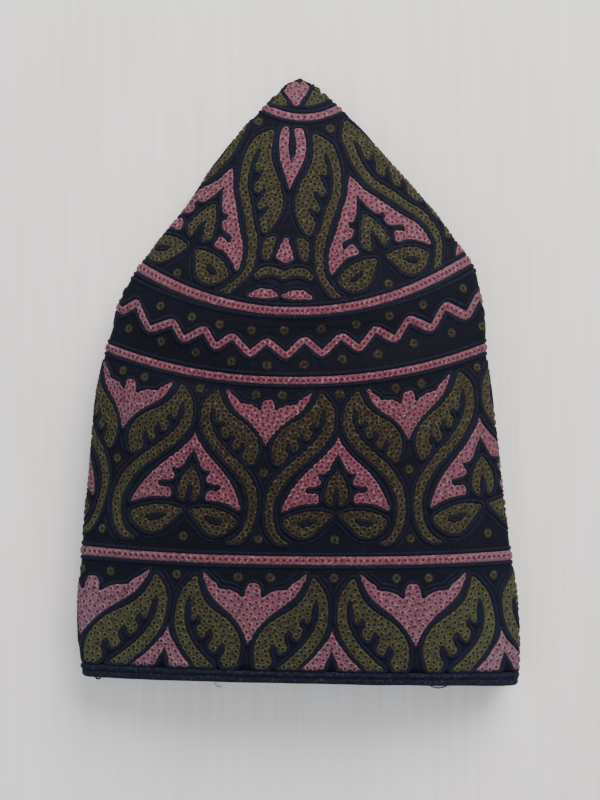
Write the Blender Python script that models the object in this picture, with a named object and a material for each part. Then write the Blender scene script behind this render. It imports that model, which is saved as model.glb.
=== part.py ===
"""Stiff embroidered prayer cap, folded flat in quarters and lying on its back.

The cloth is one closed tube that runs from the rim to the crown's centre. Folded in quarters, its
cross-section is a front panel, a back panel and a pleat tucked in from either side, so that the
round crown stands up as a point. Every section of the cap is worked out from the rows below.

Frame: X across the cap, Y from the rim towards the point, Z up from the table it lies on.
Sizes are in millimetres and become metres when a mesh is made.
"""

import math
from typing import NamedTuple

import bmesh
import bpy
import numpy as np

MM = 0.001

CLOTH = 2.0            # thickness of the embroidered cloth
SEAM_GAP = 0.3         # clearance between two sewn pieces
BINDING_HEIGHT = 4.2   # the bound edge at the rim, along the cloth
BINDING_PROUD = 0.4    # how far the binding stands out from the cloth, on either face
SEAM_HEIGHT = 127.0    # from the rim to the seam between side wall and crown, along the cloth
CROWN_RADIUS = 82.0    # the crown is a flat disc of this radius before it is folded
PLEAT_RADIUS = 1.2     # outside face at the inner crease of a side pleat
SAG_POWER = 2.15       # how the lines of the cloth curve from the middle to the side folds
FRONT_POWER = 2.3      # fullness of the front panel: 2 is a parabola, more is flatter on top
TIP_Z = 4.6            # height of the point above the table
HOLLOW_TOP = 195.0     # the four layers are pressed solid from here up
HOLLOW_END_Y = 182.6   # where the hollow closes, on the centre line


class Row(NamedTuple):
    """One line of the cloth, all round the cap, at one height."""

    height: float       # from the rim, measured along the cloth
    half_width: float   # from the centre to a side fold
    middle_y: float     # where the line crosses the middle of the cap
    side_y: float       # where it meets the side folds
    skew: float         # added at the right fold and taken off at the left one
    shift: float        # how far the section lies to the right
    lift: float         # underside above the table
    fold_radius: float  # outside face round a side fold
    mouth: float        # gap of a side pleat at its open edge
    bulge: float        # rise of the front panel above its side folds
    pleat: float        # depth of a side pleat, as a share of half_width
    pleat_rise: float   # rise of a pleat's inner crease above the middle of its mouth


ROWS = (
    Row(0.0, 67.2, 0.0, -2.2, -1.4, 0.0, 0.0, 2.9, 5.0, 14.0, 0.935, 3.4),
    Row(5.0, 68.5, 4.8, 3.0, -1.4, 0.0, 0.0, 2.9, 5.2, 14.8, 0.935, 3.5),
    Row(20.0, 69.0, 18.6, 17.6, -1.3, -0.5, 0.0, 2.9, 5.6, 16.6, 0.935, 3.7),
    Row(41.0, 67.2, 37.8, 38.2, -0.8, -1.1, 0.0, 2.9, 5.8, 18.2, 0.935, 3.9),
    Row(55.0, 65.5, 49.7, 52.6, -0.8, -1.4, 0.0, 2.9, 5.8, 19.0, 0.935, 3.9),
    Row(73.0, 63.6, 64.8, 70.1, -0.5, -1.6, 0.0, 2.9, 5.8, 19.4, 0.930, 3.9),
    Row(90.0, 61.9, 78.7, 87.0, -0.2, -1.8, 0.0, 2.9, 5.8, 19.4, 0.925, 3.8),
    Row(105.5, 59.4, 91.5, 102.4, 0.0, -1.2, 0.0, 2.9, 5.6, 18.8, 0.925, 3.6),
    Row(112.0, 58.4, 98.4, 109.2, 0.3, -0.3, 0.0, 2.9, 5.4, 18.0, 0.920, 3.4),
    Row(119.5, 56.6, 104.5, 117.3, 0.8, 0.0, 0.0, 2.9, 5.2, 17.2, 0.920, 3.2),
    Row(127.0, 53.8, 110.7, 125.3, 1.2, 1.1, 0.0, 2.9, 5.0, 16.2, 0.915, 3.0),
    Row(137.0, 47.4, 120.2, 134.6, 1.2, 1.5, 0.0, 2.8, 4.8, 13.6, 0.905, 2.5),
    Row(153.0, 37.5, 135.5, 147.4, 0.8, 1.9, 0.0, 2.7, 4.2, 9.8, 0.885, 1.8),
    Row(169.0, 27.5, 150.7, 160.2, 0.4, 0.7, 0.0, 2.6, 3.6, 6.4, 0.840, 1.1),
    Row(183.0, 18.6, 164.0, 171.2, 0.2, 0.4, 0.0, 2.4, 3.0, 3.8, 0.740, 0.5),
    Row(193.0, 12.0, 173.6, 178.4, 0.0, 0.4, 0.4, 2.1, 2.4, 2.2, 0.550, 0.1),
    Row(199.0, 8.1, 179.3, 182.6, 0.0, 0.2, 1.0, 1.6, 1.9, 1.3, 0.350, 0.0),
    Row(204.5, 4.0, 184.6, 186.6, 0.0, -0.1, 2.0, 1.0, 1.3, 0.5, 0.300, 0.0),
)
POINT = (-0.3, 188.8, TIP_Z)


class Dent(NamedTuple):
    """A long shallow hollow pressed into the front panel."""

    x: float            # its middle
    y: float
    slope: float        # rise in Y for each unit of X, along its length
    length: float       # half length and half width, where it has nearly faded out
    width: float
    depth: float


DENTS = (
    Dent(-34.0, 95.0, -0.30, 30.0, 8.0, 2.6),
    Dent(4.0, 105.0, 0.02, 52.0, 6.5, 1.3),
    Dent(45.0, 112.0, 0.35, 18.0, 6.0, 1.2),
    Dent(6.0, 42.0, 0.05, 46.0, 9.0, 0.8),
    Dent(30.0, 70.0, 1.60, 26.0, 9.0, 0.8),
)

WALL_HEIGHTS = (20.0, 34.0, 41.0, 48.0, 60.0, 73.0, 84.0, 92.0, 99.0, 105.5, 112.0, 117.0, 122.0)
CROWN_HEIGHTS = (
    131.0, 137.0, 145.0, 153.0, 161.0, 169.0, 176.0, 183.0, 189.0, 193.0, 195.0, 199.0, 202.0, 204.5
)
FRONT_STEPS = 13       # from the middle of the front to a side fold
FOLD_STEPS = 5
SIDE_STEPS = 5         # across one layer of a pleat
CREASE_STEPS = 3
BACK_STEPS = 6         # from a side fold to the middle of the back


def row_at(height):
    """The cloth's line at any height, read along a smooth curve through ROWS."""
    heights = [row.height for row in ROWS]
    last = len(ROWS) - 1
    i = min(max(int(np.searchsorted(heights, height)) - 1, 0), last - 1)
    values = np.array(ROWS, float)
    step = heights[i + 1] - heights[i]
    t = (height - heights[i]) / step

    def slope(k):
        before, after = max(k - 1, 0), min(k + 1, last)
        return (values[after] - values[before]) / (heights[after] - heights[before])

    mixed = (
        (2 * t**3 - 3 * t**2 + 1) * values[i]
        + (t**3 - 2 * t**2 + t) * step * slope(i)
        + (3 * t**2 - 2 * t**3) * values[i + 1]
        + (t**3 - t**2) * step * slope(i + 1)
    )
    row = Row(*mixed)
    return row._replace(height=height, lift=max(row.lift, 0.0))


def facing(angle):
    """Unit vector in the section, at an angle clockwise from straight up."""
    return np.array([math.sin(angle), math.cos(angle)])


def clockwise(vector):
    """The angle of a vector in the section, clockwise from straight up."""
    return math.atan2(vector[0], vector[1])


def arc(centre, radius, start, end, steps):
    """Points of an arc with their outward angles. A pleat's crease has a negative radius."""
    angles = np.linspace(start, end, steps + 1)
    return [(centre + radius * facing(a), a) for a in angles]


def between(first, second, steps):
    """Points of a straight stretch between two points that face the same way, ends left out."""
    shares = np.linspace(0.0, 1.0, steps + 1)[1:-1]
    return [(first[0] * (1 - s) + second[0] * s, first[1]) for s in shares]


def right_half(row):
    """Points and outward angles of the outside face, from the front's middle to the back's."""
    radius = row.fold_radius
    crease_radius = min(PLEAT_RADIUS, row.mouth / 2)
    back_fold = np.array([row.half_width - radius, row.lift + radius])
    front_fold = back_fold + (0.0, 2 * radius + row.mouth)
    middle_z = (back_fold[1] + front_fold[1]) / 2
    crease_x = row.half_width * (1 - row.pleat) + crease_radius
    crease = np.array([crease_x, middle_z + row.pleat_rise])

    edge_angle = math.atan(FRONT_POWER * row.bulge / row.half_width)
    edge = front_fold + radius * facing(edge_angle)
    shares = np.sin(np.linspace(0.0, math.pi / 2, FRONT_STEPS + 1))[:-1]
    front = []
    for share in shares:
        x = share * edge[0]
        z = edge[1] + row.bulge * (1 - share**FRONT_POWER)
        slope = -FRONT_POWER * row.bulge / edge[0] * share ** (FRONT_POWER - 1)
        front.append((np.array([x, z]), math.atan(-slope)))

    down = crease - front_fold
    reach = (radius + crease_radius) / np.linalg.norm(down)
    upper_angle = clockwise(down) - math.acos(min(reach, 1.0))
    up = back_fold - crease
    reach = (radius + crease_radius) / np.linalg.norm(up)
    lower_angle = clockwise(up) - math.acos(max(-reach, -1.0))
    upper_angle %= 2 * math.pi

    first = arc(front_fold, radius, edge_angle, upper_angle, FOLD_STEPS)
    inner = arc(crease, -crease_radius, upper_angle, lower_angle, CREASE_STEPS)
    second = arc(back_fold, radius, lower_angle, math.pi, FOLD_STEPS)
    upper = between(first[-1], inner[0], SIDE_STEPS)
    lower = between(inner[-1], second[0], SIDE_STEPS)
    middle = (np.array([0.0, row.lift]), math.pi)
    back = between(second[-1], middle, BACK_STEPS)
    return front + first + upper + inner + lower + second + back + [middle]


def pressed(x, y, share):
    """How far the front panel is pressed down at a place. It fades out towards the side folds."""
    total = 0.0
    for dent in DENTS:
        stretch = math.hypot(1.0, dent.slope)
        along = ((x - dent.x) + (y - dent.y) * dent.slope) / stretch / dent.length
        across = ((y - dent.y) - (x - dent.x) * dent.slope) / stretch / dent.width
        total += dent.depth * math.exp(-2.0 * (along**2 + across**2))
    return total * (1.0 - min(abs(share), 1.0) ** 6)


def section(height, depth=0.0):
    """One closed loop of the cap, depth millimetres inside its outside face, in X, Y and Z."""
    row = row_at(height)
    loop = []
    half = right_half(row)
    last = len(half) - 1
    numbered = list(enumerate(half))
    for side, points in ((1, numbered), (-1, numbered[last - 1:0:-1])):
        for number, (point, angle) in points:
            inner = point - depth * facing(angle)
            across = side * inner[0] / row.half_width
            sag = (row.side_y - row.middle_y) * abs(across) ** SAG_POWER
            x = side * inner[0] + row.shift
            y = row.middle_y + sag + row.skew * across
            z = max(inner[1], row.lift)
            if number < FRONT_STEPS:
                z -= pressed(x, y, across)
            loop.append((x, y, z))
    return loop


def binding_profile():
    """(depth into the cloth, height) round the rim's binding, a soft rounded band."""
    inside = CLOTH + BINDING_PROUD
    top = BINDING_HEIGHT
    return (
        (CLOTH / 2, 0.0),
        (0.3, 0.25),
        (-BINDING_PROUD, 1.3),
        (-BINDING_PROUD, top - 1.2),
        (0.1, top - 0.1),
        (CLOTH - 0.1, top - 0.1),
        (inside, top - 1.2),
        (inside, 1.3),
        (CLOTH - 0.3, 0.25),
    )


def skin(mesh, loops, closed_along=False):
    """Joins loops of vertices with quads, each to the next, and the last to the first if asked."""
    pairs = list(zip(loops, loops[1:]))
    if closed_along:
        pairs.append((loops[-1], loops[0]))
    for low, high in pairs:
        count = len(low)
        for i in range(count):
            j = (i + 1) % count
            mesh.faces.new((low[i], low[j], high[j], high[i]))


def fan(mesh, loop, tip):
    """Closes a loop onto one vertex."""
    for i, vertex in enumerate(loop):
        mesh.faces.new((vertex, loop[(i + 1) % len(loop)], tip))


def cap_centre():
    """Middle of the cap's outline, which is the part's origin."""
    rim = [point for depth, height in binding_profile() for point in section(height, depth)]
    rim += [point for height in WALL_HEIGHTS for point in section(height)]
    xs = [point[0] for point in rim]
    lowest = min(point[1] for point in rim)
    return (min(xs) + max(xs)) / 2, (lowest + POINT[1]) / 2


def add_loop(mesh, centre, points):
    """Vertices of one loop, in metres from the part's origin."""
    return [
        mesh.verts.new(((x - centre[0]) * MM, (y - centre[1]) * MM, z * MM)) for x, y, z in points
    ]


def make_object(name, mesh, material):
    """A finished solid with its faces pointing out."""
    bmesh.ops.recalc_face_normals(mesh, faces=mesh.faces)
    data = bpy.data.meshes.new(name)
    mesh.to_mesh(data)
    mesh.free()
    data.shade_smooth()
    data.materials.append(material)
    piece = bpy.data.objects.new(name, data)
    bpy.context.scene.collection.objects.link(piece)
    return piece


def cloth_material(name, colour):
    """Matt cotton thread."""
    material = bpy.data.materials.new(name)
    material.use_nodes = True
    shader = material.node_tree.nodes["Principled BSDF"]
    shader.inputs["Base Color"].default_value = (*colour, 1.0)
    shader.inputs["Roughness"].default_value = 0.85
    shader.inputs["Metallic"].default_value = 0.0
    return material


def make_side_wall(centre, material):
    """The band round the head, from the binding to the seam, open at both ends."""
    heights = (BINDING_HEIGHT + SEAM_GAP, *WALL_HEIGHTS, SEAM_HEIGHT - SEAM_GAP / 2)
    mesh = bmesh.new()
    outer = [add_loop(mesh, centre, section(height)) for height in heights]
    inner = [add_loop(mesh, centre, section(height, CLOTH)) for height in reversed(heights)]
    skin(mesh, outer + inner, closed_along=True)
    return make_object("side_wall", mesh, material)


def make_crown(centre, material):
    """The crown disc, folded in quarters to a point, hollow from the seam to near the point."""
    mesh = bmesh.new()
    heights = (SEAM_HEIGHT + SEAM_GAP / 2, *CROWN_HEIGHTS)
    outer = [add_loop(mesh, centre, section(height)) for height in heights]
    hollow = [height for height in heights if height <= HOLLOW_TOP]
    inner = [add_loop(mesh, centre, section(height, CLOTH)) for height in hollow]
    skin(mesh, inner[::-1] + outer)
    fan(mesh, outer[-1], add_loop(mesh, centre, [POINT])[0])
    fan(mesh, inner[-1], add_loop(mesh, centre, [(POINT[0], HOLLOW_END_Y, TIP_Z)])[0])
    return make_object("crown", mesh, material)


def make_rim_binding(centre, material):
    """The band that binds the cut edge of the rim, right round the folds and pleats."""
    mesh = bmesh.new()
    loops = [
        add_loop(mesh, centre, section(height, depth)) for depth, height in binding_profile()
    ]
    skin(mesh, loops, closed_along=True)
    return make_object("rim_binding", mesh, material)


def main():
    for old in list(bpy.data.objects):
        bpy.data.objects.remove(old)
    centre = cap_centre()
    embroidered = cloth_material("embroidered_cloth", (0.030, 0.035, 0.065))
    bound = cloth_material("binding_cloth", (0.022, 0.026, 0.045))
    make_side_wall(centre, embroidered)
    make_crown(centre, embroidered)
    make_rim_binding(centre, bound)


main()
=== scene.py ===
"""The looks of a stiff embroidered prayer cap, folded flat in quarters and lying on its back.

Every stitch sits on the cloth. ClothForm maps a place on the cloth, given as a share of the way
round and a height above the rim, to a point of the folded cap. The motifs are drawn once, as flat
charts of one repeat, and worked round the cap through that map.

Lengths are in millimetres until a mesh is made, which is in metres in the part's own frame.
"""

from __future__ import annotations

import logging
import math
from dataclasses import dataclass, field
from enum import Enum
from typing import NamedTuple

import bmesh
import bpy
import numpy as np
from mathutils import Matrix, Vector, geometry, noise


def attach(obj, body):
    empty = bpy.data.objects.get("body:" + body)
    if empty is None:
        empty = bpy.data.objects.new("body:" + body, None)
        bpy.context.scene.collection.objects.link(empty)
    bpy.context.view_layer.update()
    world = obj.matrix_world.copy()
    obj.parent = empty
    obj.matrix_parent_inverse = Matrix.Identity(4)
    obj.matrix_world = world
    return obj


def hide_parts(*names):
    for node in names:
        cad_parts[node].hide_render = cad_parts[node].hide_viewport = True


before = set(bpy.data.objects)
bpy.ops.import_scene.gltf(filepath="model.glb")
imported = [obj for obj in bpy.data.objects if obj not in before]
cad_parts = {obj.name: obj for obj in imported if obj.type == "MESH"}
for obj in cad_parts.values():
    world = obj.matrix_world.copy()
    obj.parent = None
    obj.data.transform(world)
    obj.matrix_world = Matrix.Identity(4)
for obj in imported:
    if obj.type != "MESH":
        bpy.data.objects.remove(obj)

LOG = logging.getLogger("prayer_cap")
MM = 0.001

CLOTH = 2.0            # thickness of the embroidered cloth
SEAM_GAP = 0.3         # clearance between two sewn pieces
BINDING_HEIGHT = 4.2   # the bound edge at the rim, along the cloth
SEAM_HEIGHT = 127.0    # from the rim to the seam between side wall and crown, along the cloth
CROWN_TIP = 209.0      # from the rim to the crown's centre, along the cloth
PLEAT_RADIUS = 1.2     # outside face at the inner crease of a side pleat
SAG_POWER = 2.15       # how the lines of the cloth curve from the middle to the side folds
FRONT_POWER = 2.3      # fullness of the front panel
STITCH_ROOM = 0.75     # the back's cloth lies this far up, on its own stitches
CROWN_CORDS = 132.3    # the crown's satin cords begin here
CROWN_SECOND = 131.6   # and its second cords here
LOWER_BORDER = 41.0    # from the rim to the line below the middle band
UPPER_BORDER = 105.5   # and to the line above it
ZIGZAG = (111.3, 119.5)     # heights of its lower and its upper corners
SUNS_BELOW, SUNS_ABOVE = 109.6, 122.4       # heights of the single eyelets beside it
CROWN_LINE = 130.8     # height of the line just inside the seam, which sags in the middle
CROWN_LINE_SAG = 1.8
SMALL_RING = (14.8, 2.6)    # radius of the small ring, and how much wider it is at the sides
WALL_REPEATS = 12      # of the pattern, right round the side wall
CROWN_REPEATS = 6

FRONT_POINTS, BEND_POINTS, LAYER_POINTS = 91, 25, 41    # in each stretch of a section
CREASES_AT, CREASES_SPREAD = 124.5, 3.6     # height of the fine creases below the seam
CREASES_X, CREASES_REACH = 2.0, 34.0        # and their place across the front panel
CREASES_DEPTH = 0.28
CREASES_CLOSE, CREASES_LEAN = 2.6, 0.05     # waves for each millimetre up, and across
ONCE = (0,)            # the repeats of a line that is drawn right round the cap


class Row(NamedTuple):
    """One line of the cloth, all round the cap, at one height."""

    height: float       # from the rim, measured along the cloth
    half_width: float   # from the centre to a side fold
    middle_y: float     # where the line crosses the middle of the cap
    side_y: float       # where it meets the side folds
    skew: float         # added at the right fold and taken off at the left one
    shift: float        # how far the section lies to the right
    lift: float         # underside above the table
    fold_radius: float  # outside face round a side fold
    mouth: float        # gap of a side pleat at its open edge
    bulge: float        # rise of the front panel above its side folds
    pleat: float        # depth of a side pleat, as a share of half_width
    pleat_rise: float   # rise of a pleat's inner crease above the middle of its mouth


ROWS = (
    Row(0.0, 67.2, 0.0, -2.2, -1.4, 0.0, 0.0, 2.9, 5.0, 14.0, 0.935, 3.4),
    Row(5.0, 68.5, 4.8, 3.0, -1.4, 0.0, 0.0, 2.9, 5.2, 14.8, 0.935, 3.5),
    Row(20.0, 69.0, 18.6, 17.6, -1.3, -0.5, 0.0, 2.9, 5.6, 16.6, 0.935, 3.7),
    Row(41.0, 67.2, 37.8, 38.2, -0.8, -1.1, 0.0, 2.9, 5.8, 18.2, 0.935, 3.9),
    Row(55.0, 65.5, 49.7, 52.6, -0.8, -1.4, 0.0, 2.9, 5.8, 19.0, 0.935, 3.9),
    Row(73.0, 63.6, 64.8, 70.1, -0.5, -1.6, 0.0, 2.9, 5.8, 19.4, 0.930, 3.9),
    Row(90.0, 61.9, 78.7, 87.0, -0.2, -1.8, 0.0, 2.9, 5.8, 19.4, 0.925, 3.8),
    Row(105.5, 59.4, 91.5, 102.4, 0.0, -1.2, 0.0, 2.9, 5.6, 18.8, 0.925, 3.6),
    Row(112.0, 58.4, 98.4, 109.2, 0.3, -0.3, 0.0, 2.9, 5.4, 18.0, 0.920, 3.4),
    Row(119.5, 56.6, 104.5, 117.3, 0.8, 0.0, 0.0, 2.9, 5.2, 17.2, 0.920, 3.2),
    Row(127.0, 53.8, 110.7, 125.3, 1.2, 1.1, 0.0, 2.9, 5.0, 16.2, 0.915, 3.0),
    Row(137.0, 47.4, 120.2, 134.6, 1.2, 1.5, 0.0, 2.8, 4.8, 13.6, 0.905, 2.5),
    Row(153.0, 37.5, 135.5, 147.4, 0.8, 1.9, 0.0, 2.7, 4.2, 9.8, 0.885, 1.8),
    Row(169.0, 27.5, 150.7, 160.2, 0.4, 0.7, 0.0, 2.6, 3.6, 6.4, 0.840, 1.1),
    Row(183.0, 18.6, 164.0, 171.2, 0.2, 0.4, 0.0, 2.4, 3.0, 3.8, 0.740, 0.5),
    Row(193.0, 12.0, 173.6, 178.4, 0.0, 0.4, 0.4, 2.1, 2.4, 2.2, 0.550, 0.1),
    Row(199.0, 8.1, 179.3, 182.6, 0.0, 0.2, 1.0, 1.6, 1.9, 1.3, 0.350, 0.0),
    Row(204.5, 4.0, 184.6, 186.6, 0.0, -0.1, 2.0, 1.0, 1.3, 0.5, 0.300, 0.0),
)
POINT = np.array([-0.3, 188.8, 4.6])      # the crown's centre, in the rows' own X, Y and Z
CENTRE = np.array([-0.49039, 92.64535])   # the part's origin, in the rows' own X and Y


class Dent(NamedTuple):
    """A long shallow hollow pressed into the front panel."""

    x: float
    y: float
    slope: float    # rise in Y for each unit of X, along its length
    length: float
    width: float
    depth: float


DENTS = (
    Dent(-34.0, 95.0, -0.30, 30.0, 8.0, 2.6),
    Dent(4.0, 105.0, 0.02, 52.0, 6.5, 1.3),
    Dent(45.0, 112.0, 0.35, 18.0, 6.0, 1.2),
    Dent(6.0, 42.0, 0.05, 46.0, 9.0, 0.8),
    Dent(30.0, 70.0, 1.60, 26.0, 9.0, 0.8),
)


class Lens(NamedTuple):
    """The camera, looking straight down, and how it sees the cap."""

    height: float = 450.0       # above the table
    x: float = 0.0              # over this point, in the rows' own frame
    y: float = 85.8
    focal_px: float = 1390.6    # for a picture 600 pixels wide and 800 high
    middle_x: float = 300.0
    middle_y: float = 400.0

    def picture(self, points: np.ndarray) -> np.ndarray:
        """Where points of the cap appear in the picture.

        Args:
            points: positions in the rows' own frame, in millimetres, shape (n, 3).

        Returns:
            Picture x and y in pixels, shape (n, 2).
        """
        scale = self.focal_px / (self.height - points[:, 2])
        across = self.middle_x + (points[:, 0] - self.x) * scale
        down = self.middle_y - (points[:, 1] - self.y) * scale
        return np.stack([across, down], axis=1)


LENS = Lens()


def hermite(t: float, here: np.ndarray, there: np.ndarray, step: float, leave: np.ndarray,
            arrive: np.ndarray) -> np.ndarray:
    """A place on the smooth curve between two points.

    Args:
        t: 0 at the first point, 1 at the second.
        here: the first point.
        there: the second point.
        step: between them.
        leave: slope at the first point.
        arrive: slope at the second point.

    Returns:
        The place.
    """
    return ((2 * t**3 - 3 * t**2 + 1) * here + (t**3 - 2 * t**2 + t) * step * leave
            + (3 * t**2 - 2 * t**3) * there + (t**3 - t**2) * step * arrive)


def smooth_loop(line: np.ndarray, times: int) -> np.ndarray:
    """A closed line, or values along it, with its kinks eased."""
    for _ in range(times):
        line = (np.roll(line, 1, axis=0) + 2 * line + np.roll(line, -1, axis=0)) / 4
    return line


def smooth_line(line: np.ndarray, times: int) -> np.ndarray:
    """An open line with its kinks eased. Its ends stay."""
    for _ in range(times):
        line[1:-1] = (line[:-2] + 2 * line[1:-1] + line[2:]) / 4
    return line


def unit(vectors: np.ndarray, least: float = 1e-9) -> np.ndarray:
    """The same directions, with a length of 1."""
    return vectors / np.maximum(np.linalg.norm(vectors, axis=-1, keepdims=True), least)


def rightward(line: np.ndarray, closed: bool) -> np.ndarray:
    """Unit vectors to the right of a flat line, at each of its points."""
    if closed:
        along = np.roll(line, -1, axis=0) - np.roll(line, 1, axis=0)
    else:
        along = np.gradient(line, axis=0)
    along /= np.maximum(np.hypot(*along.T), 1e-9)[:, None]
    return np.stack([along[:, 1], -along[:, 0]], 1)


@dataclass
class ClothForm:
    """The folded cloth: a closed loop at each height, from the rim to the crown's centre."""

    columns: int = 1440         # places round the cap, evenly spaced along each loop
    step: float = 1.0           # between loops, along the cloth
    ripple: float = 0.16        # soft unevenness of the quilted cloth
    ripple_size: float = 9.0
    table: np.ndarray = field(init=False)
    normals: np.ndarray = field(init=False)
    around: np.ndarray = field(init=False)
    shifts: np.ndarray = field(init=False)

    def __post_init__(self) -> None:
        """Works out the loops, their lengths and the outward directions."""
        heights = np.arange(0.0, CROWN_TIP + self.step / 2, self.step)
        last = ROWS[-1].height
        loops, lengths, shifts = [], [], []
        for height in heights:
            row = self.row_at(min(height, last))
            loop, length = self.loop(row)
            if height > last:
                share = min((height - last) / (CROWN_TIP - last), 0.985)
                loop = loop + (POINT - loop) * share
                length *= 1.0 - share
            loops.append(loop)
            lengths.append(length)
            shifts.append(row.shift)
        self.around, self.shifts = np.array(lengths), np.array(shifts)
        self.table = self.raised_off_table(np.array(loops))
        self.normals = self.outward(self.table)
        self.add_ripples(heights)
        self.normals = self.outward(self.table)

    @staticmethod
    def row_at(height: float) -> Row:
        """The cloth's line at any height, read along a smooth curve through ROWS."""
        heights = [row.height for row in ROWS]
        last = len(ROWS) - 1
        i = min(max(int(np.searchsorted(heights, height)) - 1, 0), last - 1)
        values = np.array(ROWS, float)
        step = heights[i + 1] - heights[i]
        t = (height - heights[i]) / step

        def slope(k: int) -> np.ndarray:
            """How fast the values change at one row."""
            before, after = max(k - 1, 0), min(k + 1, last)
            return (values[after] - values[before]) / (heights[after] - heights[before])

        row = Row(*hermite(t, values[i], values[i + 1], step, slope(i), slope(i + 1)))
        return row._replace(height=height, lift=max(row.lift, 0.0))

    @staticmethod
    def facing(angles: np.ndarray) -> np.ndarray:
        """Unit vectors in the section, at angles clockwise from straight up."""
        return np.stack([np.sin(angles), np.cos(angles)], axis=-1)

    def right_half(self, row: Row) -> tuple[np.ndarray, int]:
        """The outside face in the section, from the front's middle to the back's.

        Args:
            row: the cloth's line at one height.

        Returns:
            X and Z of the points, and how many of them lie on the front panel.
        """
        radius = row.fold_radius
        crease_radius = min(PLEAT_RADIUS, row.mouth / 2)
        back_fold = np.array([row.half_width - radius, row.lift + radius])
        front_fold = back_fold + (0.0, 2 * radius + row.mouth)
        middle_z = (back_fold[1] + front_fold[1]) / 2
        crease_x = row.half_width * (1 - row.pleat) + crease_radius
        crease = np.array([crease_x, middle_z + row.pleat_rise])
        edge_angle = math.atan(FRONT_POWER * row.bulge / row.half_width)
        edge = front_fold + radius * self.facing(np.array(edge_angle))

        share = np.sin(np.linspace(0.0, math.pi / 2, FRONT_POINTS))[:-1]
        front = np.stack([share * edge[0], edge[1] + row.bulge * (1 - share**FRONT_POWER)], 1)

        down = crease - front_fold
        reach = min((radius + crease_radius) / float(np.linalg.norm(down)), 1.0)
        upper = (math.atan2(down[0], down[1]) - math.acos(reach)) % (2 * math.pi)
        up = back_fold - crease
        reach = max(-(radius + crease_radius) / float(np.linalg.norm(up)), -1.0)
        lower = math.atan2(up[0], up[1]) - math.acos(reach)

        def arc(centre: np.ndarray, size: float, start: float, end: float) -> np.ndarray:
            """Points of one bend. A pleat's crease has a negative size."""
            return centre + size * self.facing(np.linspace(start, end, BEND_POINTS))

        def layer(first: np.ndarray, second: np.ndarray) -> np.ndarray:
            """Points of a straight stretch, its ends left out."""
            t = np.linspace(0.0, 1.0, LAYER_POINTS)[1:-1, None]
            return first * (1 - t) + second * t

        first = arc(front_fold, radius, edge_angle, upper)
        inner = arc(crease, -crease_radius, upper, lower)
        second = arc(back_fold, radius, lower, math.pi)
        middle = np.array([[0.0, row.lift]])
        parts = [front, first, layer(first[-1], inner[0]), inner,
                 layer(inner[-1], second[0]), second, layer(second[-1], middle[0]), middle]
        return np.concatenate(parts), len(front)

    def loop(self, row: Row) -> tuple[np.ndarray, float]:
        """One closed loop of the outside face, evenly spaced.

        Args:
            row: the cloth's line at one height.

        Returns:
            X, Y and Z of the loop's points, and the loop's length.
        """
        half, on_front = self.right_half(row)
        pressable = np.arange(len(half)) < on_front
        flat = np.concatenate([half, half[-2:0:-1] * (-1.0, 1.0)])
        pressable = np.concatenate([pressable, pressable[-2:0:-1]])
        across = flat[:, 0] / row.half_width
        sag = (row.side_y - row.middle_y) * np.abs(across) ** SAG_POWER
        x = flat[:, 0] + row.shift
        y = row.middle_y + sag + row.skew * across
        z = np.maximum(flat[:, 1], row.lift) - pressable * self.pressed(x, y, across)
        points = np.stack([x, y, z], 1)
        closed = np.concatenate([points, points[:1]])
        flat_steps = np.hypot(*np.diff(np.concatenate([flat, flat[:1]]), axis=0).T)
        along = np.concatenate([[0.0], np.cumsum(flat_steps)])
        places = np.linspace(0.0, along[-1], self.columns + 1)[:-1]
        even = np.stack([np.interp(places, along, closed[:, k]) for k in range(3)], 1)
        return even, float(along[-1])

    @staticmethod
    def pressed(x: np.ndarray, y: np.ndarray, share: np.ndarray) -> np.ndarray:
        """How far the front panel is pressed down. It fades out towards the side folds."""
        total = np.zeros_like(x)
        for dent in DENTS:
            stretch = math.hypot(1.0, dent.slope)
            along = ((x - dent.x) + (y - dent.y) * dent.slope) / stretch / dent.length
            across = ((y - dent.y) - (x - dent.x) * dent.slope) / stretch / dent.width
            total += dent.depth * np.exp(-2.0 * (along**2 + across**2))
        return total * (1.0 - np.minimum(np.abs(share), 1.0) ** 6)

    @staticmethod
    def raised_off_table(table: np.ndarray) -> np.ndarray:
        """The back's cloth, raised so that its stitches rest on the table."""
        raised = table.copy()
        near = np.clip(1.0 - table[..., 2] / 5.0, 0.0, 1.0)
        raised[..., 2] += STITCH_ROOM * near * near * (3 - 2 * near)
        return raised

    @staticmethod
    def outward(table: np.ndarray) -> np.ndarray:
        """Outward unit vectors of a table of loops."""
        round_cap = np.roll(table, -2, axis=1) - np.roll(table, 2, axis=1)
        up_cap = np.gradient(table, axis=0)
        return unit(np.cross(round_cap, up_cap))

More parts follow.
